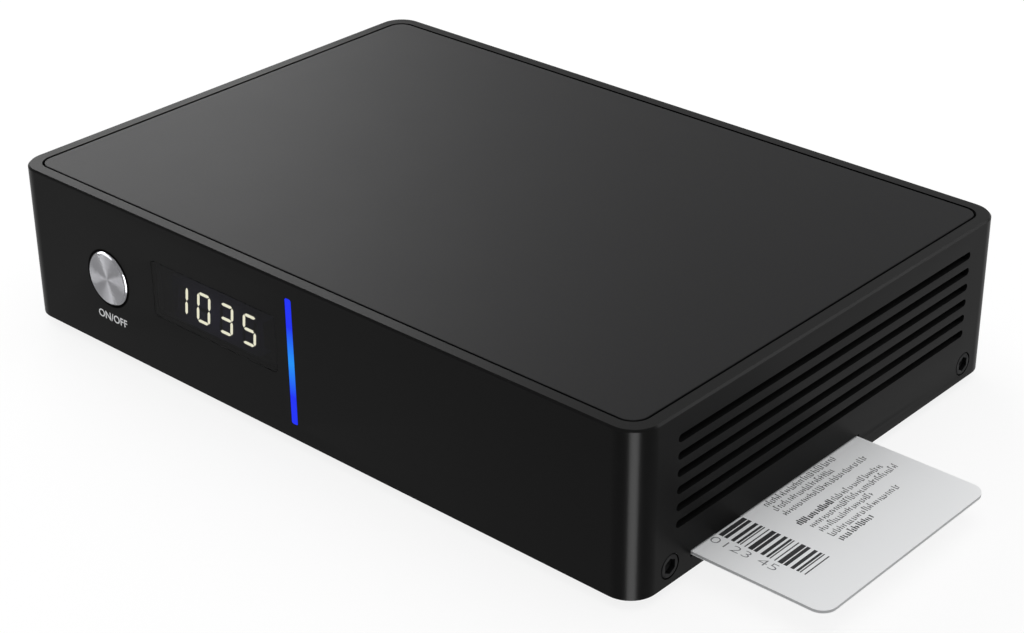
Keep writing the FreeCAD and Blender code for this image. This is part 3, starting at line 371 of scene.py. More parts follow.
class Form:
    """A mesh under construction, in millimetres, which bmesh operators shape."""

    GRAIN_MAP = "grain"
    BEVEL_FACETS = 2
    # How many millimetres of a part one step of its grain map covers, outwards on a disc and along a wall
    DISC_STEP = 10
    WALL_STEP = 100
    # A face whose normal rises less than this is a wall
    WALL_RISE = 0.7

    def __init__(self) -> None:
        """Starts with no geometry."""
        self.bm = bmesh.new()

    @classmethod
    def of_node(cls, node: str) -> "Form":
        """Starts from a CAD node's shape, with its loose facets joined into whole faces."""
        form = cls()
        bm = form.bm
        bm.from_mesh(frame["nodes"][node].data)
        bmesh.ops.scale(bm, vec=(1 / MM,) * 3, verts=bm.verts)
        bmesh.ops.remove_doubles(bm, verts=bm.verts, dist=MERGE_GAP)
        bmesh.ops.dissolve_limit(bm, angle_limit=FLAT_ANGLE, verts=bm.verts, edges=bm.edges)
        return form

    def islands(self) -> Iterator[list[bmesh.types.BMVert]]:
        """Yields the vertices of each separate part of the mesh."""
        left = set(self.bm.verts)
        while left:
            queue = [left.pop()]
            found = list(queue)
            while queue:
                for edge in queue.pop().link_edges:
                    for vert in edge.verts:
                        if vert in left:
                            left.remove(vert)
                            queue.append(vert)
                            found.append(vert)
            yield found

    def block(self, low: Sequence[float], high: Sequence[float]) -> None:
        """Adds a square block between its lowest and its highest corner."""
        low_corner, high_corner = Vector(low), Vector(high)
        size = Matrix.Diagonal((*(high_corner - low_corner), 1.0))
        place = Matrix.Translation((low_corner + high_corner) / 2)
        bmesh.ops.create_cube(self.bm, size=1.0, matrix=place @ size)

    def turned(
        self, profile: Profile, start: Sequence[float], axis: Axis, steps: int = 64, closed: bool = False
    ) -> None:
        """Adds a part turned on a lathe.

        Args:
            profile: its outline, as pairs of a radius and a distance along the axis.
            start: the point that the distances are measured from.
            axis: the direction in which they grow.
            steps: the number of facets round the part.
            closed: whether the outline's end joins its start, as for a ring.
        """
        place = Matrix.Translation(Vector(start)) @ axis.turn()
        verts = [self.bm.verts.new(place @ Vector((radius, 0, along))) for radius, along in profile]
        pairs = list(zip(verts, verts[1:]))
        if closed:
            pairs.append((verts[-1], verts[0]))
        edges = [self.bm.edges.new(pair) for pair in pairs]
        bmesh.ops.spin(
            self.bm,
            geom=verts + edges,
            cent=place.translation,
            axis=Vector(axis.value),
            angle=math.tau,
            steps=steps,
            use_merge=True,
        )
        bmesh.ops.remove_doubles(self.bm, verts=self.bm.verts, dist=MERGE_GAP)

    def loop(self, segments: int, radius: float, place: Matrix) -> list[bmesh.types.BMEdge]:
        """Adds a round or many-sided loop of edges and returns it."""
        made = bmesh.ops.create_circle(self.bm, segments=segments, radius=radius, matrix=place)
        return self.edges_between(made["verts"])

    def edges_between(self, verts: Iterable[bmesh.types.BMVert]) -> list[bmesh.types.BMEdge]:
        """The edges whose two ends are both among the vertices."""
        chosen = set(verts)
        found = {edge for vert in chosen for edge in vert.link_edges}
        return [edge for edge in found if all(vert in chosen for vert in edge.verts)]

    def draw_out(
        self, edges: list[bmesh.types.BMEdge], place: Matrix, steps: Profile, radius: float
    ) -> None:
        """Draws a loop out along its axis, step by step, and closes its end.

        Args:
            edges: the loop.
            place: the placing whose Z axis is the part's axis.
            steps: for each step, the radius and the level that the loop reaches.
            radius: the loop's radius at the start.
        """
        back = place.inverted()
        for new_radius, level in steps:
            made = bmesh.ops.extrude_edge_only(self.bm, edges=edges)["geom"]
            verts = [item for item in made if isinstance(item, bmesh.types.BMVert)]
            edges = self.edges_between(verts)
            share = new_radius / radius
            for vert in verts:
                spot = back @ vert.co
                vert.co = place @ Vector((spot.x * share, spot.y * share, level))
            radius = new_radius
        bmesh.ops.contextual_create(self.bm, geom=edges)

    def soften(self, width: float, above: float = -1.0, shortest: float = 0.0) -> "Form":
        """Rounds the sharp edges.

        Args:
            width: how far each edge is rounded.
            above: the level under which edges stay sharp.
            shortest: the length under which edges stay sharp, such as those round a drilled hole.

        Returns:
            The same form.
        """
        edges = [
            edge
            for edge in self.bm.edges
            if edge.is_manifold
            and edge.calc_face_angle(0.0) > SHARP_ANGLE
            and max(vert.co.z for vert in edge.verts) > above
            and edge.calc_length() > shortest
        ]
        bmesh.ops.bevel(
            self.bm,
            geom=edges,
            offset=width,
            offset_type="OFFSET",
            segments=self.BEVEL_FACETS,
            profile=0.5,
            affect="EDGES",
            clamp_overlap=True,
            material=-1,
            face_strength_mode="ALL",
        )
        return self

    def wrap_turned(self, centre: Sequence[float], axis: Axis) -> None:
        """Lays a map over a turned part: outwards in its first direction, round the axis in its second."""
        layer = self.bm.loops.layers.uv.new(self.GRAIN_MAP)
        back = axis.turn().inverted()
        for face in self.bm.faces:
            middle = back @ (face.calc_center_median() - Vector(centre))
            seat = math.atan2(middle.y, middle.x)
            for loop in face.loops:
                spot = back @ (loop.vert.co - Vector(centre))
                angle = math.atan2(spot.y, spot.x) - seat
                angle = (angle + math.pi) % math.tau - math.pi if spot.xy.length > 0.01 else 0.0
                loop[layer].uv = (spot.xy.length / self.DISC_STEP, (seat + angle) / math.tau)

    def wrap_walls(self) -> "Form":
        """Lays a map over upright walls: upwards in its first direction, round the part in its second."""
        layer = self.bm.loops.layers.uv.new(self.GRAIN_MAP)
        self.bm.normal_update()
        for face in self.bm.faces:
            wall = abs(face.normal.z) < self.WALL_RISE
            for loop in face.loops:
                spot = loop.vert.co
                turn = math.atan2(spot.y, spot.x) / math.tau
                flat = spot / self.WALL_STEP
                loop[layer].uv = (flat.z, turn) if wall else flat.xy
        return self

    def piece(
        self,
        name: str,
        finish: Finish,
        body: str = "housing",
        replaces: Iterable[str] = (),
        slot: str | None = None,
    ) -> Piece:
        """Makes the finished piece, with its place in its mesh.

        Args:
            name: the piece's name.
            finish: its surface.
            body: the moving body that it rides on.
            replaces: the CAD nodes that it stands for.
            slot: not used.

        Returns:
            The new object.
        """
        bmesh.ops.scale(self.bm, vec=(MM,) * 3, verts=self.bm.verts)
        bmesh.ops.recalc_face_normals(self.bm, faces=self.bm.faces)
        mesh = bpy.data.meshes.new(name)
        self.bm.to_mesh(mesh)
        self.bm.free()
        mesh.materials.append(finish.material())
        for polygon in mesh.polygons:
            polygon.use_smooth = True
        mesh.set_sharp_from_angle(angle=SHARP_ANGLE)
        made = bpy.data.objects.new(name, mesh)
        bpy.context.scene.collection.objects.link(made)
        flatter = made.modifiers.new("face_weighted_normals", "WEIGHTED_NORMAL")
        flatter.keep_sharp = True
        flatter.use_face_influence = True
        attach(made, body)
        if replaces:
            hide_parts(*replaces)
        return made


def lettering(
    name: str,
    words: str,
    height: float,
    middle: Sequence[float],
    axis: Axis,
    ink: Finish,
    body: str = "housing",
    width: float | None = None,
    tilt: Matrix | None = None,
    bold: float = 0.0,
) -> Piece:
    """Prints plain words or numbers on a face, as a thin film of ink.

    Args:
        name: the piece's name.
        words: what it says.
        height: the height of a capital, in millimetres.
        middle: the middle of the print, on the face.
        axis: the way the face looks.
        ink: the ink's finish.
        body: the moving body that it rides on.
        width: the print's width, where it isn't the typeface's own.
        tilt: a further turn, about the part's own place, for a face that leans.
        bold: how far the strokes are thickened, as a share of a capital's height.

    Returns:
        The print.
    """
    curve = bpy.data.curves.new(name, "FONT")
    curve.body = words
    curve.size = 1.0
    curve.extrude = INK_FILM / height / 2
    curve.offset = bold
    curve.resolution_u = 3
    holder = bpy.data.objects.new(name + "_outline", curve)
    bpy.context.scene.collection.objects.link(holder)
    graph = bpy.context.evaluated_depsgraph_get()
    flat = bpy.data.meshes.new_from_object(holder.evaluated_get(graph))
    bpy.data.objects.remove(holder)
    form = Form()
    form.bm.from_mesh(flat)
    bmesh.ops.remove_doubles(form.bm, verts=form.bm.verts, dist=MERGE_GAP * MM)
    outline = Box.around(form.bm.verts)
    size = outline.size
    across = height / size.y if width is None else width / size.x
    scale = Matrix.Diagonal((across, height / size.y, INK_FILM / size.z, 1.0))
    place = Matrix.Translation(Vector(middle)) @ axis.upright() @ scale
    place = place @ Matrix.Translation(-outline.centre)
    bmesh.ops.transform(form.bm, matrix=place if tilt is None else tilt @ place, verts=form.bm.verts)
    return form.piece(name, ink, body)


@dataclass(frozen=True)
class Dress:
    """How a CAD node is dressed: its finish, and how far its edges are rounded, in millimetres, if at all."""

    node: str
    finish: Finish
    edge: float = 0.0
    slot: str | None = None
    shortest: float = 0.0

    def put_on(self) -> Piece:
        """Gives the node its finish, or stands for it with the same shape and rounded edges."""
        kept = frame["nodes"][self.node]
        if self.edge:
            form = Form.of_node(self.node).soften(self.edge, shortest=self.shortest)
            return form.piece(self.node + "_finished", self.finish, kept["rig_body"], [self.node], self.slot)
        kept.data.materials.clear()
        kept.data.materials.append(self.finish.material())
        return kept


# Moulded ABS from a tool polished round its walls: satin black, so a corner shows one upright highlight
MOULDED_BLACK = DrawnFinish(
    "moulded_abs_black", "#080808", 0.36, specular=0.05, grain_mm=0.35, grain_depth_mm=0.002, mottle=0.01
)
# Aluminium sheet, bead blasted and anodised black: a finer, greyer sheen than the plastic round it
ANODISED_TOP = SpeckledFinish(
    "blasted_anodised_aluminium", "#0f0f10", 0.46, specular=0.055, grain_mm=0.3, grain_depth_mm=0.003,
    mottle=0.004, fleck="#181819", fleck_mm=0.45, fleck_share=0.3,
)
# Powder-coated sheet steel: a slight orange peel, about a millimetre across
POWDER_COAT = SpeckledFinish(
    "powder_coated_steel", "#131314", 0.5, specular=0.35, grain_mm=1.1, grain_depth_mm=0.02,
    fleck="#1d1d1e", fleck_mm=0.6, fleck_share=0.5,
)
# Black oxide on steel screws: dark, with a little oily shine
BLACK_OXIDE = Finish("black_oxide_steel", "#0f0f10", 0.5, specular=0.09, mottle=0.08, mottle_mm=2.0)
# Bright zinc plate on small fasteners
ZINC = Finish("zinc_plated_steel", "#c4c6c8", 0.32, metallic=1.0, mottle=0.08, mottle_mm=3.0)
# Moulded elastomer feet: dull, with a dusty, fine grain
RUBBER = SpeckledFinish(
    "moulded_rubber", "#101010", 0.85, specular=0.3, grain_mm=0.5, grain_depth_mm=0.02,
    fleck="#1c1c1c", fleck_mm=0.8, fleck_share=0.6,
)
# Black solder mask over woven glass laminate
SOLDER_MASK = SpeckledFinish(
    "solder_mask_black", "#080a09", 0.3, specular=0.4, grain_mm=0.6, grain_depth_mm=0.01,
    fleck="#101512", fleck_mm=1.6, fleck_share=0.8,
)
# Moulded epoxy chip bodies: matt, with a sandy grain
EPOXY = Finish("moulded_epoxy", "#17171a", 0.6, grain_mm=0.2, grain_depth_mm=0.006, mottle=0.05)
# Soft silicone heat pad
SILICONE = Finish("silicone_pad", "#8d929c", 0.75, grain_mm=0.7, grain_depth_mm=0.02)
# Extruded aluminium, anodised black
HEATSINK = Finish(
    "anodised_extrusion", "#1c1c1e", 0.4, metallic=0.7, grain_mm=0.3, grain_depth_mm=0.004, mottle=0.06
)
# Natural nylon: milky, waxy
NYLON = Finish("natural_nylon", "#ddd8c9", 0.45, grain_mm=0.6, grain_depth_mm=0.004)
# Pressed and sintered ferrite
FERRITE = Finish("sintered_ferrite", "#3a3a3d", 0.7, grain_mm=0.25, grain_depth_mm=0.02, mottle=0.08)
# Drawn aluminium can
DRAWN_CAN = Finish("drawn_aluminium", "#c2c3c5", 0.3, metallic=1.0, mottle=0.06, mottle_mm=4.0)
# Hot-tinned steel of screening cans and socket shells: bright, with faint handling marks
TINPLATE = Finish("tinned_steel", "#c9c8c4", 0.26, metallic=1.0, mottle=0.1, mottle_mm=7.0)
# Aluminium cut with a diamond tool, as on a button's chamfer
CUT_ALUMINIUM = Finish("diamond_cut_aluminium", "#7c7c7f", 0.14, metallic=1.0, mottle=0.03, mottle_mm=1.0)
# Nickel plate on turned brass
NICKEL = Finish("nickel_plated_brass", "#cfccc2", 0.2, metallic=1.0, mottle=0.06, mottle_mm=3.0)
# Gold flash over nickel, on contacts
GOLD = Finish("gold_flash", "#dcb265", 0.22, metallic=1.0, mottle=0.05, mottle_mm=2.0)
# Moulded blue insulator
BLUE_TONGUE = Finish("moulded_pbt_blue", "#1a4fae", 0.4, grain_mm=0.5, grain_depth_mm=0.004)
# Glass-filled black plastic of sockets: a little rougher than the case
SOCKET_BLACK = Finish(
    "glass_filled_nylon_black", "#121213", 0.48, specular=0.4, grain_mm=0.5, grain_depth_mm=0.008
)
# Smoked acrylic window, flush with the case, with a coat that keeps nearly all reflections off it
SMOKED_LENS = ClearFinish("smoked_acrylic", "#505054", 0.05, ior=1.14, specular=0.06, mottle=0.02)
# White screen-printing ink
WHITE_INK = Finish("white_printing_ink", "#d8d9da", 0.5, grain_mm=0.2, grain_depth_mm=0.003)
# Black thermal-transfer ink
BLACK_INK = Finish("black_printing_ink", "#1d1d1f", 0.5, grain_mm=0.2, grain_depth_mm=0.002)
# Grey printing ink
GREY_INK = Finish("grey_printing_ink", "#707174", 0.5, grain_mm=0.2, grain_depth_mm=0.002)
# Laminated plastic card: pale grey, satin on top
CARD_STOCK = Finish(
    "laminated_card", "#eeeff0", 0.34, specular=0.3, grain_mm=0.5, grain_depth_mm=0.002, mottle=0.04
)
# The card's core, darker grey than its faces, which shows as a darker line along its edge: partly the card's
# layers, partly painted shade on the edge
CARD_CORE_AND_EDGE_SHADE = Finish("card_core_and_painted_edge_shade", "#adaeaf", 0.5, specular=0.2, grain_mm=0.3, grain_depth_mm=0.004)
# A near-black film round the button: painted shade of the gap round it
PAINTED_GAP_SHADE = Finish("painted_gap_shade_film", "#030303", 0.9, specular=0.03, grain_mm=0.3, grain_depth_mm=0.02)
# Tinted light windows of the network socket
GREEN_WINDOW = Finish("tinted_window_green", "#3f8f4a", 0.2, specular=0.4, mottle=0.02, mottle_mm=1.0)
AMBER_WINDOW = Finish("tinted_window_amber", "#b8842c", 0.2, specular=0.4, mottle=0.02, mottle_mm=1.0)
# Amber polyester film
LINER = Finish("polyester_film", "#8f8878", 0.4, grain_mm=3.0, grain_depth_mm=0.02)
# Infrared-clear plastic: nearly black, with a deep red cast
RECEIVER_PLASTIC = Finish("infrared_clear_epoxy", "#180d14", 0.15)
# The display's segments that aren't lit
DARK_SEGMENT = Finish("dark_segment", "#0c0c0e", 0.5, specular=0.06)
# Clear moulded diode lens
DIODE = Finish("moulded_diode", "#e4dfc2", 0.3)


@dataclass(frozen=True)
class View:
    """The camera: its place in millimetres, the way it looks in degrees, and its lens."""

    place: Point = (292.59, -319.39, 239.98)
    azimuth: float = 42.087
    elevation: float = 28.326
    roll: float = -0.424
    lens: float = 78.636
    sensor: float = 36.0


@dataclass(frozen=True)
class Lamp:
    """A soft rectangular lamp that faces the object, in metres and watts.

    Where it names pieces, it lights their gloss alone.
    """

    name: str
    place: Point
    width: float
    depth: float
    watts: float
    sheen_on: tuple[str, ...] = ()

    def hang(self) -> Piece:
        """Hangs the lamp."""
        data = bpy.data.lights.new(self.name, "AREA")
        data.shape = "RECTANGLE"
        data.size, data.size_y = self.width, self.depth
        data.energy = self.watts
        lamp = bpy.data.objects.new(self.name, data)
        lamp.location = self.place
        lamp.rotation_euler = (-Vector(self.place)).to_track_quat("-Z", "Y").to_euler()
        bpy.context.scene.collection.objects.link(lamp)
        if self.sheen_on:
            lamp.visible_diffuse = False
        return lamp


@dataclass(frozen=True)
class Reflector:
    """A bright upright card, in metres, which the camera doesn't see and which shows in gloss alone.

    Its light is so many times white, and falls off to nothing at its reach.
    """

    name: str
    place: Point
    width: float
    height: float
    light: float
    sheen_on: tuple[str, ...]
    reach: float
    full_share: float = 0.85

    def glow(self) -> bpy.types.Material:
        """The card's light."""
        made = bpy.data.materials.new(self.name)
        made.use_nodes = True
        tree = made.node_tree
        shader = tree.nodes["Principled BSDF"]
        set_inputs(shader, {"Base Color": (0, 0, 0, 1), "Emission Color": (1, 1, 1, 1)})
        length = add_node(tree, "LightPath").outputs["Ray Length"]
        fall = spread(tree, length, self.light, 0.0, self.reach * self.full_share, self.reach)
        tree.links.new(fall, shader.inputs["Emission Strength"])
        made.cycles.emission_sampling = "NONE"
        return made

    def stand(self) -> Piece:
        """Stands the card up, turned to the object."""
        facing = Vector((-self.place[0], -self.place[1], 0))
        turn = facing.to_track_quat("Z", "Y").to_matrix().to_4x4()
        size = Matrix.Diagonal((self.width, self.height, 1.0, 1.0))
        card = stage_sheet(self.name, Matrix.Translation(self.place) @ turn @ size, self.glow())
        card.visible_camera = False
        card.visible_diffuse = False
        card.visible_transmission = False
        card.visible_shadow = False
        return card


def stage_sheet(name: str, place: Matrix, material: bpy.types.Material) -> Piece:
    """Makes a flat sheet that is one metre square before its placing."""
    form = Form()
    bmesh.ops.create_grid(form.bm, x_segments=1, y_segments=1, size=0.5, matrix=place)
    mesh = bpy.data.meshes.new(name)
    form.bm.to_mesh(mesh)
    form.bm.free()
    mesh.materials.append(material)
    made = bpy.data.objects.new(name, mesh)
    bpy.context.scene.collection.objects.link(made)
    return made


class Studio:
    """The floor, the light and the camera, none of which belongs to the object."""

    FLOOR_SIZE = 6.0
    FLOOR_DROP = 0.0002
    FLOOR_COLOUR = "#f4f4f4"
    FLOOR_WHITENING = 0.85
    WORLD_STRENGTH = 0.55
    WHITE = {"Color": (1, 1, 1, 1), "Strength": 1.0}
    SHELL = ("case_shell_finished", "display_window_finished")
    TOP = ("case_shell_finished", "top_panel_finished")
    BUTTON = ("power_button_turned",)
    LAMPS = (
        Lamp("left_softbox", (-0.97, 0.33, 0.5), 0.9, 0.6, 8.6),
        Lamp("overhead_softbox", (0.1, 0.1, 1.1), 1.2, 1.2, 6.2),
        Lamp("left_sheen", (-0.95, -0.3, 0.4), 0.2, 0.5, 9.0, BUTTON),
        Lamp("front_sheen", (-0.83, -0.62, 0.52), 1.1, 0.55, 8.0, BUTTON),
        Lamp("rear_sheen", (0.52, 0.72, 0.65), 0.5, 0.4, 6.0, TOP),
    )
    REFLECTORS = (
        Reflector("corner_reflector", (0.194, -0.17, -0.065), 0.088, 0.32, 26.0, SHELL, 0.23),
        Reflector("button_reflector", (0.72, -0.9, -0.38), 0.5, 1.3, 14.0, BUTTON, 3.0),
    )

    def __init__(self, view: View) -> None:
        """Keeps the camera's view."""
        self.view = view

    def build(self) -> None:
        """Builds the floor, the world, the lamps and the camera, after the object's pieces."""
        self.lay_floor()
        self.light_world()
        for lamp in self.LAMPS:
            self.aim_at(lamp.hang(), lamp.sheen_on)
        for card in self.REFLECTORS:
            self.aim_at(card.stand(), card.sheen_on)
        self.set_camera()

    def aim_at(self, source: Piece, pieces: Sequence[str]) -> None:
        """Lets a lamp or a card light only the named pieces, as a flag on a stand would, if there are any."""
        if pieces:
            lit = bpy.data.collections.new(source.name + "_lights")
            for piece in pieces:
                lit.objects.link(bpy.data.objects[piece])
            source.light_linking.receiver_collection = lit

    def lay_floor(self) -> None:
        """Lays a plain pale floor that keeps the object's shadow and is nearly white to the camera."""
        paper = bpy.data.materials.new("paper_sweep")
        paper.use_nodes = True
        tree = paper.node_tree
        shader = tree.nodes["Principled BSDF"]
        colour = linear(self.FLOOR_COLOUR)
        set_inputs(shader, {"Base Color": colour, "Roughness": 0.9, "Specular IOR Level": 0.1})
        white = add_node(tree, "Emission", self.WHITE)
        settings = {"operation": "MULTIPLY", 1: self.FLOOR_WHITENING}
        share = add_node(tree, "Math", settings, {0: self.seen_rays(tree)})
        self.mix_for(tree, share.outputs[0], shader, white, "Material Output")
        size = Matrix.Diagonal((self.FLOOR_SIZE, self.FLOOR_SIZE, 1.0, 1.0))
        floor = stage_sheet("floor", Matrix.Translation((0, 0, -self.FLOOR_DROP)) @ size, paper)
        floor.visible_glossy = False

    def light_world(self) -> None:
        """Gives an even light from all round, and a white background."""
        world = bpy.data.worlds.new("studio")
        world.use_nodes = True
        bpy.context.scene.world = world
        tree = world.node_tree
        even = tree.nodes["Background"]
        set_inputs(even, {"Color": (1, 1, 1, 1), "Strength": self.WORLD_STRENGTH})
        white = add_node(tree, "Background", self.WHITE)
        self.mix_for(tree, self.seen_rays(tree), even, white, "World Output")

    def mix_for(self, tree: Tree, share: Socket, plain: Node, white: Node, output: str) -> None:
        """Mixes the white surface into the plain one by the share, and joins both to the output."""
        mix = add_node(tree, "MixShader", links={0: share, 1: plain.outputs[0], 2: white.outputs[0]})
        tree.links.new(mix.outputs[0], tree.nodes[output].inputs["Surface"])

    def seen_rays(self, tree: Tree) -> Socket:
        """One for a ray from the camera, a mirror or a lens, and otherwise nought."""
        path = add_node(tree, "LightPath").outputs
        first = combine(tree, "MAXIMUM", path["Is Camera Ray"], path["Is Glossy Ray"])
        return combine(tree, "MAXIMUM", first, path["Is Transmission Ray"])

    def set_camera(self) -> None:
        """Sets the camera where the photograph was taken from."""
        view = self.view
        across, rise, roll = (math.radians(a) for a in (view.azimuth, view.elevation, view.roll))
        level = math.cos(rise)
        back = Vector((math.sin(across) * level, -math.cos(across) * level, math.sin(rise)))
        right = Vector((math.cos(across), math.sin(across), 0))
        up = back.cross(right)
        rolled_right = right * math.cos(roll) + up * math.sin(roll)
        rolled_up = up * math.cos(roll) - right * math.sin(roll)
        turn = Matrix((rolled_right, rolled_up, back)).transposed()
        data = bpy.data.cameras.new("camera")
        data.lens = view.lens
        data.sensor_width = view.sensor
        camera = bpy.data.objects.new("camera", data)
        camera.matrix_world = Matrix.Translation(Vector(view.place) * MM) @ turn.to_4x4()
        scene = bpy.context.scene
        scene.collection.objects.link(camera)
        scene.camera = camera
        scene.view_settings.view_transform = "Standard"


@dataclass
class SubAssembly:
    """A group of pieces that are built and dressed together."""

    def build(self) -> Iterator[Piece]:
        """Yields each of its pieces, dressed."""
        yield from ()


@dataclass
class Enclosure(SubAssembly):
    """The moulded case, its inset top panel, the steel tray and rear panel, the feet and the screws."""

    shell_edge: float = 0.22
    sharp_foot: float = 0.1
    panel_edge: float = 0.25
    sheet_edge: float = 0.12
    hole_facet: float = 1.3
    head_height: float = 1.3
    head_chamfer: float = 0.25
    head_facets: int = 48
    shank_radius: float = 1.45
    socket_width: float = 2.9
    socket_depth: float = 1.0
    foot_ring: float = 4.4
    foot_round: float = 0.5

    def build(self) -> Iterator[Piece]:
        """Yields the case's pieces."""
        yield self.shell()
        yield Dress("top_panel", ANODISED_TOP, self.panel_edge, "panel_black").put_on()
        yield Dress("base_tray", POWDER_COAT, self.sheet_edge, "sheet_black").put_on()
        yield Dress("rear_panel", POWDER_COAT, self.sheet_edge, "sheet_black", self.hole_facet).put_on()
        yield self.feet()
        yield self.screws("side_screws")
        yield self.screws("rear_panel_screws")
        yield Dress("side_screw_nuts", ZINC).put_on()

    def shell(self) -> Piece:
        """The moulded case, with its edges broken and its grain laid round the walls."""
        sharp_level = node_box("case_shell").low.z + self.sharp_foot
        form = Form.of_node("case_shell").soften(self.shell_edge, above=sharp_level).wrap_walls()
        return form.piece("case_shell_finished", MOULDED_BLACK, "housing", ["case_shell"], "shell_black")

    def feet(self) -> Piece:
        """The rubber feet, each with a rounded rim and a hollow in its underside."""
        form = Form()
        for box in solid_boxes("rubber_feet"):
            radius, height = box.size.x / 2, box.size.z
            hollow = height - self.foot_round
            profile = (
                (0.0, 0.0),
                (radius, 0.0),
                *rim(radius, height, self.foot_round),
                (self.foot_ring, height),
                (self.foot_ring - self.foot_round / 2, hollow),
                (0.0, hollow),
            )
            form.turned(profile, (box.centre.x, box.centre.y, box.high.z), Axis.DOWN, 48)
        return form.piece("rubber_feet_moulded", RUBBER, "housing", ["rubber_feet"], "foot_rubber")

    def screws(self, node: str) -> Piece:
        """Makes the cap screws of one node, each where its solid is."""
        form = Form()
        for box in solid_boxes(node):
            if box.size.x > box.size.y:
                axis = Axis.RIGHT if box.centre.x > 0 else Axis.LEFT
                length, outer = box.size.x, abs(box.high.x if box.centre.x > 0 else box.low.x)
                seat = (math.copysign(outer - self.head_height, box.centre.x), box.centre.y, box.centre.z)
            else:
                axis, length = Axis.REAR, box.size.y
                seat = (box.centre.x, box.high.y - self.head_height, box.centre.z)
            self.cap_screw(form, seat, axis, box.size.z / 2, length - self.head_height)
        return form.piece(node + "_turned", BLACK_OXIDE, "housing", [node], "screw_black")

    def cap_screw(
        self, form: Form, seat: Sequence[float], axis: Axis, radius: float, shank_length: float
    ) -> None:
        """Adds a cap screw with a chamfered head and a hexagon socket.

        Args:
            form: the screws' mesh.
            seat: the middle of the head's underside.
            axis: the direction from the shank to the head.
            radius: the head's radius.
            shank_length: the shank's length.
        """
        place = Matrix.Translation(Vector(seat)) @ axis.turn()
        top = place @ Matrix.Translation((0, 0, self.head_height))
        chamfer, shank = self.head_chamfer, self.shank_radius
        reach = self.socket_width / math.sqrt(3)
        floor = self.head_height - self.socket_depth
        outer = form.loop(self.head_facets, radius - chamfer, top)
        inner = form.loop(6, reach, top)
        bmesh.ops.bridge_loops(form.bm, edges=outer + inner)
        steps = (
            (radius, self.head_height - chamfer),
            (radius, 0.0),
            (shank, 0.0),
            (shank, chamfer - shank_length),
            (shank - chamfer, -shank_length),
        )
        form.draw_out(outer, place, steps, radius - chamfer)
        form.draw_out(inner, place, ((reach, floor), (reach / 3, floor - self.socket_width / 4)), reach)


